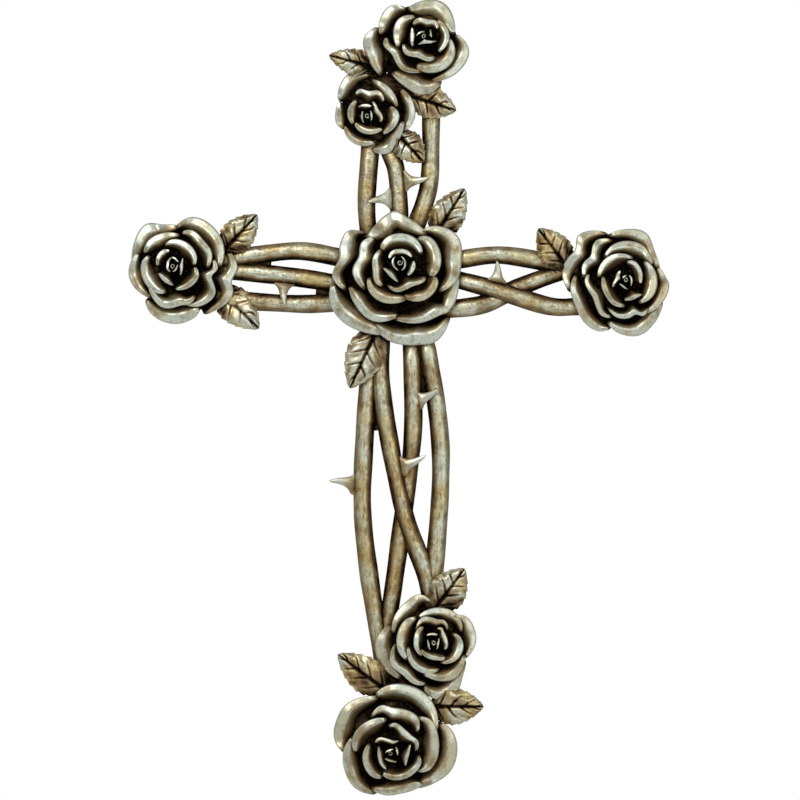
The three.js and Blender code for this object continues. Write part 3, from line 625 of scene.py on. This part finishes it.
def petal(rose, ring_index, index, band, *places):
    """A curved wall whose rim rolls outwards and dives under its neighbours at both ends."""
    spots = [(r * math.cos(math.radians(a)), r * math.sin(math.radians(a))) for a, r in places]
    length = np.linalg.norm(np.diff(spots, axis=0), axis=1).sum()
    along = int(np.clip(length * LOOPS_PER_MM, *LOOP_RANGE))
    around = WIDE_POINTS if band > WIDE_BAND else SLIM_POINTS
    form, u, t = spun_form("petal", around, along)
    angle, rim = smooth_line(places, (u + 1) / 2 * (len(places) - 1)).T
    share = np.clip((rim - lean_at(rose, angle)) / rose["radius"], 0, 1)
    outermost = share.mean() > WALL_SHARE
    floor = valley_height(rose, share) - ROOT_DEPTH
    # The width and the crest waver a little, by a turn that is each petal's own
    turn = 1.7 * index + 2.3 * ring_index + 0.37 * rim.mean()
    ends = np.clip(1 - u**2, 0, 1) ** 0.5
    width = band * (0.12 + 1.0 * ends**1.6) * (1 + 0.08 * np.sin(4.4 * u + turn) * ends)
    widest = in_mm(settings().slope_width) + 0.5 * width
    slope = np.minimum(widest, 0.55 * (rim - width)) * (0.25 + 0.75 * ends)
    dive = end_dive(u)
    stagger = STAGGER if index % 2 else -STAGGER
    top = crest_height(rose, share) + stagger - END_FALL * rose_height(rose) * share * np.abs(u) ** 2.4
    top = top + 0.07 * band * np.sin(5.1 * u + 1.3 * turn) + 0.03 * band * np.sin(11 * u + turn)
    top = top * (1 - dive) + (floor + END_RISE) * dive
    edge = top - EDGE_FALL - ROLL_FALL * width
    base = np.minimum(floor, top - LEAST_WALL)
    back = PETAL_BACK + PETAL_BACK_STEP * ((3 * ring_index + index) % PETAL_BACKS)

    def at(offset, height):
        return np.stack([rim - offset, height], axis=-1)

    controls = [
        at(width + slope, base),
        at(width + 0.5 * slope, base * 0.65 + top * 0.35),
        at(width + 0.1 * slope, base * 0.22 + top * 0.78),
        at(0.9 * width, top - 0.14 * width),
        at(0.62 * width, top),
        at(0.3 * width, top - 0.09 * width),
        at(0.06 * width, (top + edge) / 2 + 0.1),
        at(0 * width, edge),
    ]
    if outermost:
        controls += [
            at(0.2 * width, edge - LIP_THICKNESS),
            np.stack([rim * 0.9 - 0.1 * width, (edge - LIP_THICKNESS) * 0.5], axis=-1),
            *(np.stack([rim * foot, np.full_like(u, back)], axis=-1) for foot in FOOT_SHARES),
        ]
    else:
        controls += [
            at(0.25 * width, edge - THIN_LIP),
            at(0.55 * width, base * 0.5 + top * 0.5 - THIN_LIP),
            at(0.8 * width, base),
        ]
    spot = closed_curve(np.array(controls), t)
    poles = at_poles(u)
    spot[poles] = np.stack([rim[poles] - 0.9 * width[poles], base[poles]], axis=-1)
    r, depth = spot[:, 0], np.maximum(spot[:, 1], back)
    x = rose["bud"][0] + r * np.cos(np.radians(angle))
    z = rose["bud"][1] + r * np.sin(np.radians(angle))
    set_places(form, row_frame(x, clear_of_keyhole(x, depth, z, PETAL_MARGIN), z))
    # The inner slope darkens towards its foot under the next inner petal: painted shade with dark wash
    inside = np.interp((rim - r - width) / slope, *PAINTED_SLOPE_SHADE)
    # Painted shade: the outer wall darkens downwards under the rolled rim, the band darkens towards both
    # ends where they tuck under neighbours, partly wear too, and the diving ends darken most
    wall = np.clip(0.9 - 0.5 * (edge - depth) / (edge - floor + 0.01), 0, 1)
    outside = np.where(depth < edge - 0.1, wall, 1)
    wear_and_shade = 1 - 0.42 * np.clip(np.abs(u + 0.12 * np.sin(turn)), 0, 1) ** 3
    set_relief(form, np.minimum(inside, outside) * wear_and_shade - 0.4 * dive)
    return form


def rose_dome(rose):
    """The mass that the petals grow from."""
    form, u, t = spun_form("dome", *DOME_GRID)
    height = rose_height(rose)
    v = (u + 1) / 2
    stops = (0, 0.25, 0.5, 0.75, 0.85, 1)
    shares = np.interp(v, stops, (0, 0.3, 0.55, 0.8, 0.74, 0))
    front_depths = [valley_height(rose, share) for share in (0, 0.3, 0.55)]
    depths = np.interp(v, stops, [*front_depths, 0.8 * valley_height(rose, 0.8), 0, 0])
    lean = np.clip(depths / height, 0, 1)
    x = rose["middle"][0] * (1 - lean) + rose["bud"][0] * lean
    z = rose["middle"][1] * (1 - lean) + rose["bud"][1] * lean
    angle = 2 * math.pi * t
    reach = shares * rose["radius"]
    x, z = x + reach * np.cos(angle), z + reach * np.sin(angle)
    depths = np.where(v < 0.8, clear_of_keyhole(x, depths, z, CORE_MARGIN), depths)
    set_places(form, row_frame(x, depths, z))
    # The dome's front, seen between the petals, takes the darkest tone as dark wash and painted shade; its
    # back takes the back's paint
    set_relief(form, np.where(v > 0.84, BACK_WEAR, 0.0))
    return form


def bud_curl(rose):
    """The tight curl in the middle of the bud."""
    form, u, t = spun_form("curl", *CURL_GRID)
    v = (u + 1) / 2
    angle = 2 * math.pi * CURL_TURNS * v + rose["bud"][0]
    reach = rose["core"] * (0.3 + 0.7 * v)
    top = 0.93 * rose_height(rose) - 0.6 * (1 - v)
    base = np.full_like(u, valley_height(rose, 0) - 0.8)
    wall = CURL_WALL * np.clip(1.15 - np.abs(u) ** 6, 0.15, 1)
    controls = np.array([
        np.stack([reach - wall * 1.3, base], axis=-1),
        np.stack([reach - wall, top - 0.4], axis=-1),
        np.stack([reach, top], axis=-1),
        np.stack([reach + wall, top - 0.4], axis=-1),
        np.stack([reach + wall * 1.3, base], axis=-1),
    ])
    spot = closed_curve(controls, t)
    poles = at_poles(u)
    spot[poles] = np.stack([reach[poles], base[poles] + 0.7 * (top[poles] - base[poles])], axis=-1)
    x = rose["bud"][0] + spot[:, 0] * np.cos(angle)
    z = rose["bud"][1] + spot[:, 0] * np.sin(angle)
    set_places(form, row_frame(x, spot[:, 1], z))
    # The curl darkens the deeper it lies: dark wash and painted shade
    set_relief(form, 0.85 - (top - spot[:, 1]) / 2)
    return form


def keyhole_blocks():
    """Closed blocks that make up the keyhole: its entry, its neck, and the room behind the lip."""
    low, rise = KEYHOLE["entry_z"], KEYHOLE["rise"]
    wide, slim = KEYHOLE["entry_radius"], KEYHOLE["neck_radius"]
    outside, lip = -BACK_OVERCUT, KEYHOLE["lip"]
    blocks = []
    for radius, z, near in ((wide, low, outside), (slim, low + rise, outside), (wide, low + rise, lip)):
        middle, size = (near + KEYHOLE["depth"]) / 2, KEYHOLE["depth"] - near
        bpy.ops.mesh.primitive_cylinder_add(
            vertices=KEYHOLE_SIDES,
            radius=radius * MM,
            depth=size * MM,
            location=row_frame(0, middle, z),
            rotation=(math.pi / 2, 0, 0),
        )
        blocks.append(bpy.context.object)
    for radius, near in ((slim, outside), (wide, lip)):
        middle, size = (near + KEYHOLE["depth"]) / 2, KEYHOLE["depth"] - near
        bpy.ops.mesh.primitive_cube_add(
            size=MM, location=row_frame(0, middle, low + rise / 2), scale=(2 * radius, size, rise)
        )
        blocks.append(bpy.context.object)
    return blocks


def cut_keyhole(form):
    """Cuts the keyhole out of a closed form."""
    out_facing(form)
    for block in keyhole_blocks():
        bpy.context.view_layer.objects.active = form
        cut = form.modifiers.new("keyhole", "BOOLEAN")
        cut.operation = "DIFFERENCE"
        cut.solver = "EXACT"
        cut.object = block
        bpy.ops.object.modifier_apply(modifier=cut.name)
        bpy.data.meshes.remove(block.data)


def rose_form(name):
    rose = ROSES[name]
    forms = [rose_dome(rose), bud_curl(rose)]
    for ring_index, ring in enumerate(rose["rings"]):
        for index, entry in enumerate(ring):
            forms.append(petal(rose, ring_index, index, *entry))
    if name == "top_large":
        cut_keyhole(forms[0])
    return join(forms, "rose_" + name)


def stem_form(name):
    """A stem with a round front and straight sides down to the flat back."""
    fronts, path = STEMS[name]
    back = STEM_BACK + STEM_BACK_STEP * list(STEMS).index(name)
    form, u, t = spun_form("stem_" + name, *STEM_GRID)
    v = (u + 1) / 2
    middle, along, length = even_line(path, v)
    front = (1 - v) ** 2 * fronts[0] + v**2 * fronts[2]
    front = front + 2 * v * (1 - v) * (2 * fronts[1] - 0.5 * (fronts[0] + fronts[2]))
    front = front * (1 - STEM_DIP * end_dive(u))
    knots = 0.25 * np.sin(length / 9.0 + len(name)) + 0.12 * np.sin(length / 3.7 + 2 * len(name))
    half = in_mm(settings().stem_width) / 2 + knots * 0.5
    front = front + knots * 0.6
    angle = 2 * math.pi * t
    across = np.sign(np.cos(angle)) * np.abs(np.cos(angle)) ** 0.85
    low = np.sin(angle) <= 0
    rise = SIDE_SHARE * front + ROUND_SHARE * front * np.abs(np.sin(angle)) ** 0.9
    across = np.where(low, np.clip(np.cos(angle) * 1.6, -1, 1), across)
    side_rise = np.clip(SIDE_SHARE + np.sin(angle) * 1.6, 0, SIDE_SHARE) * front
    rise = np.where(low, side_rise, rise)
    across = np.where(at_poles(u), 0, across)
    rise = np.maximum(np.where(at_poles(u), 0.5 * front, rise), back)
    x = middle[:, 0] - along[:, 1] * across * half
    z = middle[:, 1] + along[:, 0] * across * half
    set_places(form, row_frame(x, rise, z))
    set_attribute(form, "grain", np.stack([across * half, angle, length], axis=-1))
    # Stem sides darken towards the wall, most where they face the gaps between stems and least on the arm's
    # outer edges: dark wash plus painted shade
    lateral, vertex = (middle[:, 0], x) if name.startswith(("up", "down")) else (middle[:, 1], z)
    outer = np.clip((np.abs(lateral) - 3) / 5, 0, 1) * (np.abs(vertex) > np.abs(lateral))
    a = np.abs(across)
    dark_edge = np.interp(a, (0.2, 0.42, 0.6, 0.76), (1, 0.74, 0.3, 0))
    pale_edge = np.interp(a, (0.3, 0.65, 0.9, 1), (1, 0.74, 0.5, 0.36))
    stem_wash_and_shade = (PAINTED_WEB_SHADE if name.endswith("web") else 1) * (dark_edge * (1 - outer) + pale_edge * outer)
    flat_back = rise < back + 0.01
    set_relief(form, np.where(flat_back, BACK_WEAR, stem_wash_and_shade))
    return form


def thorn_form(foot, tip, index):
    """A flattened cone that flares where it leaves its stem and hooks a little at the tip."""
    form, u, t = spun_form("thorn_%d" % index, *THORN_GRID)
    v = (u + 1) / 2
    foot = np.array([foot[0], -foot[1], foot[2]])
    tip = np.array([tip[0], -tip[1], tip[2]])
    along = (tip - foot) / np.linalg.norm(tip - foot)
    front = np.array([0, -1, 0]) + along * along[1]
    front /= np.linalg.norm(front)
    side = np.cross(along, front)
    flare = np.exp(-9 * np.clip(v - 0.2, 0, 1))
    radius = in_mm(settings().thorn_width) / 2 * (0.8 * flare + 0.86 * np.clip(1 - v, 0, 1) ** 0.55)
    flatness = np.interp(v, (0, 0.2, 0.32, 1), (0.1, 0.26, 0.6, 0.85))
    radius = np.where(at_poles(u), 0, radius)
    hook = 0.6 * np.sin(math.pi * v) - 0.5 * v**2
    angle = 2 * math.pi * t
    ridge = 1 + 0.16 * np.cos(2 * angle) + 0.08 * np.cos(4 * angle)
    places = foot + np.outer(v, tip - foot) + np.outer(hook, side)
    places = places + np.outer(radius * ridge * np.cos(angle), side)
    places = places + np.outer(radius * flatness * ridge * np.sin(angle), front)
    set_places(form, row_frame(places[:, 0], -places[:, 1], places[:, 2]))
    set_relief(form, (0.7 + 0.25 * np.sin(angle)) * np.interp(v, (0.15, 0.4), (0.7, 1)))
    return form


def leaf_form(name):
    """A pointed blade with a saw edge, a grooved midrib and grooved side veins, cupped along both halves."""
    foot, tip, half_width, depths = LEAVES[name]
    form, u, t = spun_form("leaf_" + name, *LEAF_GRID)
    foot, tip = np.array(foot, dtype=float), np.array(tip, dtype=float)
    v = (u + 1) / 2
    span = tip - foot
    length = np.linalg.norm(span)
    along = span / length
    side = np.array([-along[1], along[0]])
    teeth = TOOTH_DEPTH * np.mod(v * TEETH, 1) * np.clip(8 * (1 - v), 0, 1) * np.clip(6 * v, 0, 1)
    outline = np.sin(math.pi * np.clip(v, 0, 1) ** 0.85) ** 0.75 * (1 - 0.12 * v)
    half = half_width * outline + 1.2 * (0.45 - teeth) * np.clip(outline * 3, 0, 1)
    half = np.maximum(half, 0)
    top_side = t <= 0.5
    q = np.where(top_side, 1 - 4 * t, 4 * t - 3)
    a = np.abs(q)
    depth = depths[0] * (1 - v) + depths[1] * v + 0.5 * np.sin(math.pi * v)
    crown = 1.5 * (a * (1 - a)) * 4 * 0.5 * outline
    droop = 1.2 * a**2
    bend = 0.09 * np.sin(7 * v + foot[0]) * a
    rib = np.exp(-((a * half / (0.75 - 0.45 * v)) ** 2))
    vein_place = v * SIDE_VEINS - a * 1.1 + np.where(q > 0, 0.3, 0.55) + bend * 4
    vein = np.abs(np.mod(vein_place, 1) - 0.5)
    vein_width = 0.6 - 0.32 * a
    vein = np.exp(-(((0.5 - vein) * length / SIDE_VEINS / vein_width) ** 2)) * np.clip((0.88 - a) * 3, 0, 1)
    crinkle = 0.3 * np.sin(2 * math.pi * vein_place + 2.1) * a * outline
    crinkle = crinkle + 0.34 * np.sin(9 * v + 5 * q + tip[0]) * np.sin(4.3 * q + 3 * v) * outline
    blade = depth + crown - droop - 0.9 * rib - 0.5 * vein + crinkle
    under = depth - droop - 2.4 * (1 - a**3) - 0.35
    rise = np.where(top_side, blade, under)
    x = foot[0] + span[0] * v + side[0] * q * half
    z = foot[1] + span[1] * v + side[1] * q * half
    rise = np.where(at_poles(u), depth - 0.8, rise)
    set_places(form, row_frame(x, rise, z))
    # The blade darkens at its foot, in the hollows of its crinkles and along the midrib and veins as dark
    # wash and painted shade; the sine patches are the paint's own tone
    wear_and_shade = 1 - 0.9 * np.clip(1 - v / 0.55, 0, 1) - 0.3 * np.clip(crinkle * -3, 0, 1)
    wear_and_shade = wear_and_shade - 0.3 * np.clip(np.sin(5 * v + 2.5 * q + tip[0]), 0, 1)
    set_relief(form, np.where(top_side, wear_and_shade - 0.95 * rib - 0.72 * vein, LEAF_BACK_WEAR))
    return form


def finish_piece(piece):
    """Smooth shading with creases, then the piece rides on the cross in place of the CAD solid."""
    out_facing(piece)
    bpy.ops.object.select_all(action="DESELECT")
    piece.select_set(True)
    bpy.context.view_layer.objects.active = piece
    bpy.ops.object.shade_smooth_by_angle(angle=math.radians(CREASE_DEGREES))
    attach(piece, "root")
    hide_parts(CASTING_NODE)


def all_pieces():
    named = [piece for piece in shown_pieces() if piece.name.startswith(PIECE_NAMES)]
    return [piece for piece in named if piece.name != CASTING_NODE]


def sky_directions(count):
    """Directions spread evenly over the sphere."""
    k = np.arange(count) + 0.5
    polar = np.arccos(1 - 2 * k / count)
    turn = math.pi * (1 + 5**0.5) * k
    return [
        Vector((math.cos(a) * math.sin(p), math.sin(a) * math.sin(p), math.cos(p)))
        for a, p in zip(turn, polar)
    ]


def mark_recesses(pieces):
    """Stores how open each vertex lies (0 in a crevice, 1 on a rim) and how sharply it bulges; the paint
    darkens the closed places with dark wash and painted shade.
    """
    reach = settings().wash_and_shade_reach
    corners, faces, start = [], [], 0
    for piece in pieces:
        mesh = piece.data
        corners += [v.co.copy() for v in mesh.vertices]
        faces += [[start + i for i in f.vertices] for f in mesh.polygons]
        start += len(mesh.vertices)
    tree = BVHTree.FromPolygons(corners, faces)
    directions = sky_directions(settings().wash_and_shade_rays)
    for piece in pieces:
        mesh = piece.data
        openness = np.ones(len(mesh.vertices))
        for i, vertex in enumerate(mesh.vertices):
            normal = vertex.normal
            origin = vertex.co + normal * RAY_START
            total = light = 0.0
            for direction in directions:
                facing = normal.dot(direction)
                if facing <= LEAST_FACING:
                    continue
                total += facing
                hit = tree.ray_cast(origin, direction, reach)
                if hit[0] is None:
                    light += facing
                else:
                    light += facing * (hit[3] / reach) ** 1.5
            openness[i] = light / total if total else 0
        relief = np.empty(len(mesh.vertices))
        mesh.attributes["relief"].data.foreach_get("value", relief)
        set_attribute(piece, "lay", np.stack([openness, bulge_of(mesh), relief], axis=-1))


def bulge_of(mesh):
    """Convexity of each vertex, smoothed: positive on rims and ridges, negative in grooves."""
    count = len(mesh.vertices)
    places = np.empty(count * 3)
    normals = np.empty(count * 3)
    mesh.vertices.foreach_get("co", places)
    mesh.vertices.foreach_get("normal", normals)
    places, normals = places.reshape(-1, 3), normals.reshape(-1, 3)
    edges = np.empty(len(mesh.edges) * 2, dtype=np.int32)
    mesh.edges.foreach_get("vertices", edges)
    a, b = edges.reshape(-1, 2).T
    step = places[b] - places[a]
    size = np.maximum(np.linalg.norm(step, axis=1), 1e-6)
    bend = np.zeros(count)
    near = np.zeros(count)
    np.add.at(bend, a, -np.einsum("ij,ij->i", normals[a], step) / size**2)
    np.add.at(bend, b, np.einsum("ij,ij->i", normals[b], step) / size**2)
    np.add.at(near, a, 1)
    np.add.at(near, b, 1)
    bend = bend / np.maximum(near, 1) * MM
    for _ in range(2):
        blur = bend.copy()
        np.add.at(blur, a, bend[b])
        np.add.at(blur, b, bend[a])
        bend = blur / (near + 1)
    return np.clip(bend, -1, 1)


def link(tree, source, target):
    tree.links.new(source, target)


def node(tree, kind, **values):
    made = tree.nodes.new(kind)
    for key, value in values.items():
        if key in made.inputs:
            made.inputs[key].default_value = value
        else:
            setattr(made, key, value)
    return made


def noise(tree, coordinates, scale, detail=4.0, roughness=0.55):
    made = node(tree, "ShaderNodeTexNoise", Scale=scale, Detail=detail, Roughness=roughness)
    link(tree, coordinates, made.inputs["Vector"])
    return made.outputs["Fac"]


def ramp(tree, value, stops):
    made = tree.nodes.new("ShaderNodeValToRGB")
    elements = made.color_ramp.elements
    while len(elements) < len(stops):
        elements.new(0.5)
    for element, (place, colour) in zip(elements, stops):
        element.position = place
        element.color = (*colour, 1) if len(colour) == 3 else colour
    link(tree, value, made.inputs["Fac"])
    return made.outputs["Color"]


def grey_ramp(tree, value, *stops):
    """A ramp of plain amounts, each given as (place, amount)."""
    return ramp(tree, value, [(place, (amount,) * 3) for place, amount in stops])


def arithmetic(tree, operation, a, b):
    made = tree.nodes.new("ShaderNodeMath")
    made.operation = operation
    for socket, value in zip(made.inputs, (a, b)):
        if isinstance(value, (int, float)):
            socket.default_value = value
        else:
            link(tree, value, socket)
    return made.outputs["Value"]


def blend_colours(tree, mode, share, a, b):
    made = tree.nodes.new("ShaderNodeMix")
    made.data_type = "RGBA"
    made.blend_type = mode
    made.clamp_factor = True
    sockets = [s for s in made.inputs if s.enabled]
    for socket, value in zip(sockets, (share, a, b)):
        if isinstance(value, (int, float)):
            socket.default_value = value
        elif isinstance(value, tuple):
            socket.default_value = (*value, 1)
        else:
            link(tree, value, socket)
    return next(s for s in made.outputs if s.enabled)


def silver_material(name, warmth, mottle, streaked):
    """Antique silver paint: dark wash and painted shade where the form lies deep, gold mottling, wiped
    bright rims.
    """
    material = bpy.data.materials.new(name)
    material.use_nodes = True
    tree = material.node_tree
    shader = tree.nodes["Principled BSDF"]
    place = tree.nodes.new("ShaderNodeTexCoord").outputs["Object"]
    lay = node(tree, "ShaderNodeAttribute", attribute_name="lay")
    split = tree.nodes.new("ShaderNodeSeparateXYZ")
    link(tree, lay.outputs["Vector"], split.inputs["Vector"])
    openness, bulge, relief = (split.outputs[axis] for axis in "XYZ")

    patches = noise(tree, place, PATCH_SCALE, 6, 0.6)
    specks = noise(tree, place, SPECK_SCALE, 3, 0.65)
    # The tone follows openness, relief and bulge: closed and low places take dark wash and painted shade
    level = arithmetic(tree, "MULTIPLY", openness, OPEN_SHARE)
    level = arithmetic(tree, "ADD", level, arithmetic(tree, "MULTIPLY", relief, RELIEF_SHARE))
    level = arithmetic(tree, "ADD", level, arithmetic(tree, "MULTIPLY", bulge, BULGE_SHARE))
    level = arithmetic(tree, "ADD", level, arithmetic(tree, "MULTIPLY", patches, mottle))
    level = arithmetic(tree, "ADD", level, -0.5 * mottle - 0.02)
    tones = ramp(tree, level, (*TONES, (RIM_PLACE, tuple(settings().rim_silver))))
    gold_share = grey_ramp(tree, noise(tree, place, GOLD_SCALE, 4), (0.42, 0), (0.62, 1))
    gold = blend_colours(tree, "MULTIPLY", 1.0, tones, tuple(settings().gold_glaze))
    colour = blend_colours(tree, "MIX", arithmetic(tree, "MULTIPLY", gold_share, warmth), tones, gold)
    speck_share = arithmetic(tree, "MULTIPLY", grey_ramp(tree, specks, (0.55, 0), (0.68, 1)), 0.5)
    colour = blend_colours(tree, "MIX", speck_share, colour, SPECK_BROWN)
    height = arithmetic(tree, "ADD", arithmetic(tree, "MULTIPLY", specks, 0.4), patches)
    if streaked:
        grain = node(tree, "ShaderNodeAttribute", attribute_name="grain")
        stretch = node(tree, "ShaderNodeMapping")
        stretch.inputs["Scale"].default_value = GRAIN_STRETCH
        link(tree, grain.outputs["Vector"], stretch.inputs["Vector"])
        streaks = noise(tree, stretch.outputs["Vector"], 1.0, 6, 0.6)
        streak_share = arithmetic(tree, "MULTIPLY", grey_ramp(tree, streaks, (0.5, 0), (0.64, 1)), 0.6)
        colour = blend_colours(tree, "MIX", streak_share, colour, STREAK_BROWN)
        colour = blend_colours(tree, "MULTIPLY", 1.0, colour, STEM_TINT)
        height = arithmetic(tree, "ADD", height, streaks)
    link(tree, colour, shader.inputs["Base Color"])
    shine = grey_ramp(tree, level, (0.3, 0.02), (0.62, 0.5))
    link(tree, shine, shader.inputs["Specular IOR Level"])
    roughness = grey_ramp(tree, level, (0.35, 0.75), (0.85, 0.4))
    link(tree, roughness, shader.inputs["Roughness"])
    metal = grey_ramp(tree, level, (0.45, 0), (0.85, 0.65))
    link(tree, metal, shader.inputs["Metallic"])
    bump = node(tree, "ShaderNodeBump", Strength=0.35, Distance=0.0002)
    link(tree, height, bump.inputs["Height"])
    link(tree, bump.outputs["Normal"], shader.inputs["Normal"])
    return material


def paint(piece, material):
    piece.data.materials.clear()
    piece.data.materials.append(material)


class RoseCrossSettings(bpy.types.PropertyGroup):
    rose_base_height: bpy.props.FloatProperty(
        name="Rose base height",
        description="Height of a rose besides what its radius gives",
        default=0.006,
        unit="LENGTH",
    )
    valley_share: bpy.props.FloatProperty(
        name="Valley share",
        description="Depth of the valleys between petals over the rose's height",
        default=0.42,
        min=0.0,
        max=1.0,
        subtype="FACTOR",
    )
    slope_width: bpy.props.FloatProperty(
        name="Slope width",
        description="Width of a petal's inner slope besides half its band",
        default=0.0028,
        unit="LENGTH",
    )
    stem_width: bpy.props.FloatProperty(
        name="Stem width",
        description="Width of a stem seen from the front",
        default=0.0078,
        unit="LENGTH",
    )
    thorn_width: bpy.props.FloatProperty(
        name="Thorn width",
        description="Width of a thorn where it meets the stem",
        default=0.0046,
        unit="LENGTH",
    )
    # How far the rays look for nearby surfaces; the closed places they find get dark wash and painted shade
    wash_and_shade_reach: bpy.props.FloatProperty(
        name="Wash reach",
        description="How near a surface has to be to hold dark wash",
        default=0.011,
        unit="LENGTH",
    )
    wash_and_shade_rays: bpy.props.IntProperty(
        name="Wash rays",
        description="Directions tested at each vertex to find the recesses",
        default=40,
    )
    rim_silver: bpy.props.FloatVectorProperty(
        name="Rim silver",
        description="Colour of the wiped silver on rims and ridges",
        default=(0.62, 0.66, 0.56),
        min=0.0,
        max=1.0,
        subtype="COLOR",
    )
    gold_glaze: bpy.props.FloatVectorProperty(
        name="Gold glaze",
        description="Colour that the gold mottling gives the silver",
        default=(0.9, 0.68, 0.38),
        min=0.0,
        max=1.0,
        subtype="COLOR",
    )


class ROSECROSS_OT_roses(bpy.types.Operator):
    """Model the seven open roses"""

    bl_idname = "rosecross.roses"
    bl_label = "Add Roses"

    def execute(self, context):
        for name in ROSES:
            finish_piece(rose_form(name))
        return {"FINISHED"}


class ROSECROSS_OT_stems(bpy.types.Operator):
    """Model the stems that are woven into the arms"""

    bl_idname = "rosecross.stems"
    bl_label = "Add Stems"

    def execute(self, context):
        finish_piece(join([stem_form(name) for name in STEMS], "stems"))
        return {"FINISHED"}


class ROSECROSS_OT_thorns(bpy.types.Operator):
    """Model the thorns on the stems"""

    bl_idname = "rosecross.thorns"
    bl_label = "Add Thorns"

    def execute(self, context):
        finish_piece(join([thorn_form(foot, tip, i) for i, (foot, tip) in enumerate(THORNS)], "thorns"))
        return {"FINISHED"}


class ROSECROSS_OT_leaves(bpy.types.Operator):
    """Model the serrated leaves beside the roses"""

    bl_idname = "rosecross.leaves"
    bl_label = "Add Leaves"

    def execute(self, context):
        finish_piece(join([leaf_form(name) for name in LEAVES], "leaves"))
        return {"FINISHED"}


class ROSECROSS_OT_paint(bpy.types.Operator):
    """Find the recesses and paint every piece in antique silver, with dark wash and painted shade in the
    recesses
    """

    bl_idname = "rosecross.paint"
    bl_label = "Paint"

    def execute(self, context):
        pieces = all_pieces()
        mark_recesses(pieces)
        petal_silver = silver_material("antique_silver_petals", 0.5, 1.1, False)
        stem_silver = silver_material("antique_silver_stems", 0.9, 1.1, True)
        leaf_silver = silver_material("antique_silver_leaves", 1.0, 1.3, False)
        for piece in pieces:
            if piece.name.startswith("stem"):
                paint(piece, stem_silver)
            elif piece.name.startswith("leaves"):
                paint(piece, leaf_silver)
            else:
                paint(piece, petal_silver)
        return {"FINISHED"}


class ROSECROSS_OT_stage(bpy.types.Operator):
    """Set up the pale floor, soft lights, a white backdrop and the camera"""

    bl_idname = "rosecross.stage"
    bl_label = "Add Stage"

    def execute(self, context):
        bpy.ops.object.select_all(action="DESELECT")
        bpy.ops.mesh.primitive_plane_add(size=FLOOR_SIZE, location=(0, 0, FLOOR_HEIGHT))
        floor = bpy.context.object
        floor.name = floor.data.name = "floor"
        plaster = bpy.data.materials.new("pale_floor")
        plaster.use_nodes = True
        plaster.node_tree.nodes["Principled BSDF"].inputs["Base Color"].default_value = (0.85, 0.85, 0.85, 1)
        paint(floor, plaster)
        floor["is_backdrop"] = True
        for name, place, size, power in LIGHTS:
            data = bpy.data.lights.new(name, "AREA")
            data.shape = "SQUARE"
            data.size = size
            data.energy = power
            light = bpy.data.objects.new(name, data)
            context.collection.objects.link(light)
            light.location = place
            aim = Vector(LIGHT_TARGET) - light.location
            light.rotation_euler = aim.to_track_quat("-Z", "Y").to_euler()
        self.world(context)
        self.camera(context)
        context.scene.view_settings.view_transform = "Standard"
        return {"FINISHED"}

    def world(self, context):
        world = bpy.data.worlds.new("studio")
        context.scene.world = world
        world.use_nodes = True
        tree = world.node_tree
        backdrop = node(tree, "ShaderNodeBackground", Color=(1, 1, 1, 1), Strength=1.0)
        studio = tree.nodes["Background"]
        studio.inputs["Color"].default_value = (0.92, 0.97, 1, 1)
        studio.inputs["Strength"].default_value = 0.34
        chosen = tree.nodes.new("ShaderNodeMixShader")
        link(tree, tree.nodes.new("ShaderNodeLightPath").outputs["Is Camera Ray"], chosen.inputs[0])
        link(tree, studio.outputs["Background"], chosen.inputs[1])
        link(tree, backdrop.outputs["Background"], chosen.inputs[2])
        link(tree, chosen.outputs["Shader"], tree.nodes["World Output"].inputs["Surface"])

    def camera(self, context):
        data = bpy.data.cameras.new("camera")
        data.sensor_width = SENSOR_WIDTH
        data.lens = SENSOR_WIDTH * CAMERA_DISTANCE / PHOTO_WIDTH
        camera = bpy.data.objects.new("camera", data)
        context.collection.objects.link(camera)
        camera.location = (-HANGER[0] * MM, -CAMERA_DISTANCE, (PHOTO_MIDDLE - HANGER[1]) * MM)
        camera.rotation_euler = (math.radians(90), 0, 0)
        context.scene.camera = camera


class ROSECROSS_PT_panel(bpy.types.Panel):
    bl_label = "Rose Wall Cross"
    bl_idname = "ROSECROSS_PT_panel"
    bl_space_type = "VIEW_3D"
    bl_region_type = "UI"
    bl_category = "Rose Cross"

    def draw(self, context):
        for name in RoseCrossSettings.__annotations__:
            self.layout.prop(context.scene.rose_cross, name)
        for operator in OPERATORS:
            self.layout.operator(operator.bl_idname)


OPERATORS = (
    ROSECROSS_OT_stage,
    ROSECROSS_OT_roses,
    ROSECROSS_OT_stems,
    ROSECROSS_OT_thorns,
    ROSECROSS_OT_leaves,
    ROSECROSS_OT_paint,
)
CLASSES = (RoseCrossSettings, *OPERATORS, ROSECROSS_PT_panel)


def register():
    for each in CLASSES:
        bpy.utils.register_class(each)
    bpy.types.Scene.rose_cross = bpy.props.PointerProperty(type=RoseCrossSettings)


def unregister():
    del bpy.types.Scene.rose_cross
    for each in reversed(CLASSES):
        bpy.utils.unregister_class(each)


def main():
    register()
    bpy.ops.rosecross.stage()
    bpy.ops.rosecross.roses()
    bpy.ops.rosecross.stems()
    bpy.ops.rosecross.thorns()
    bpy.ops.rosecross.leaves()
    bpy.ops.rosecross.paint()


if __name__ == "__main__":
    main()
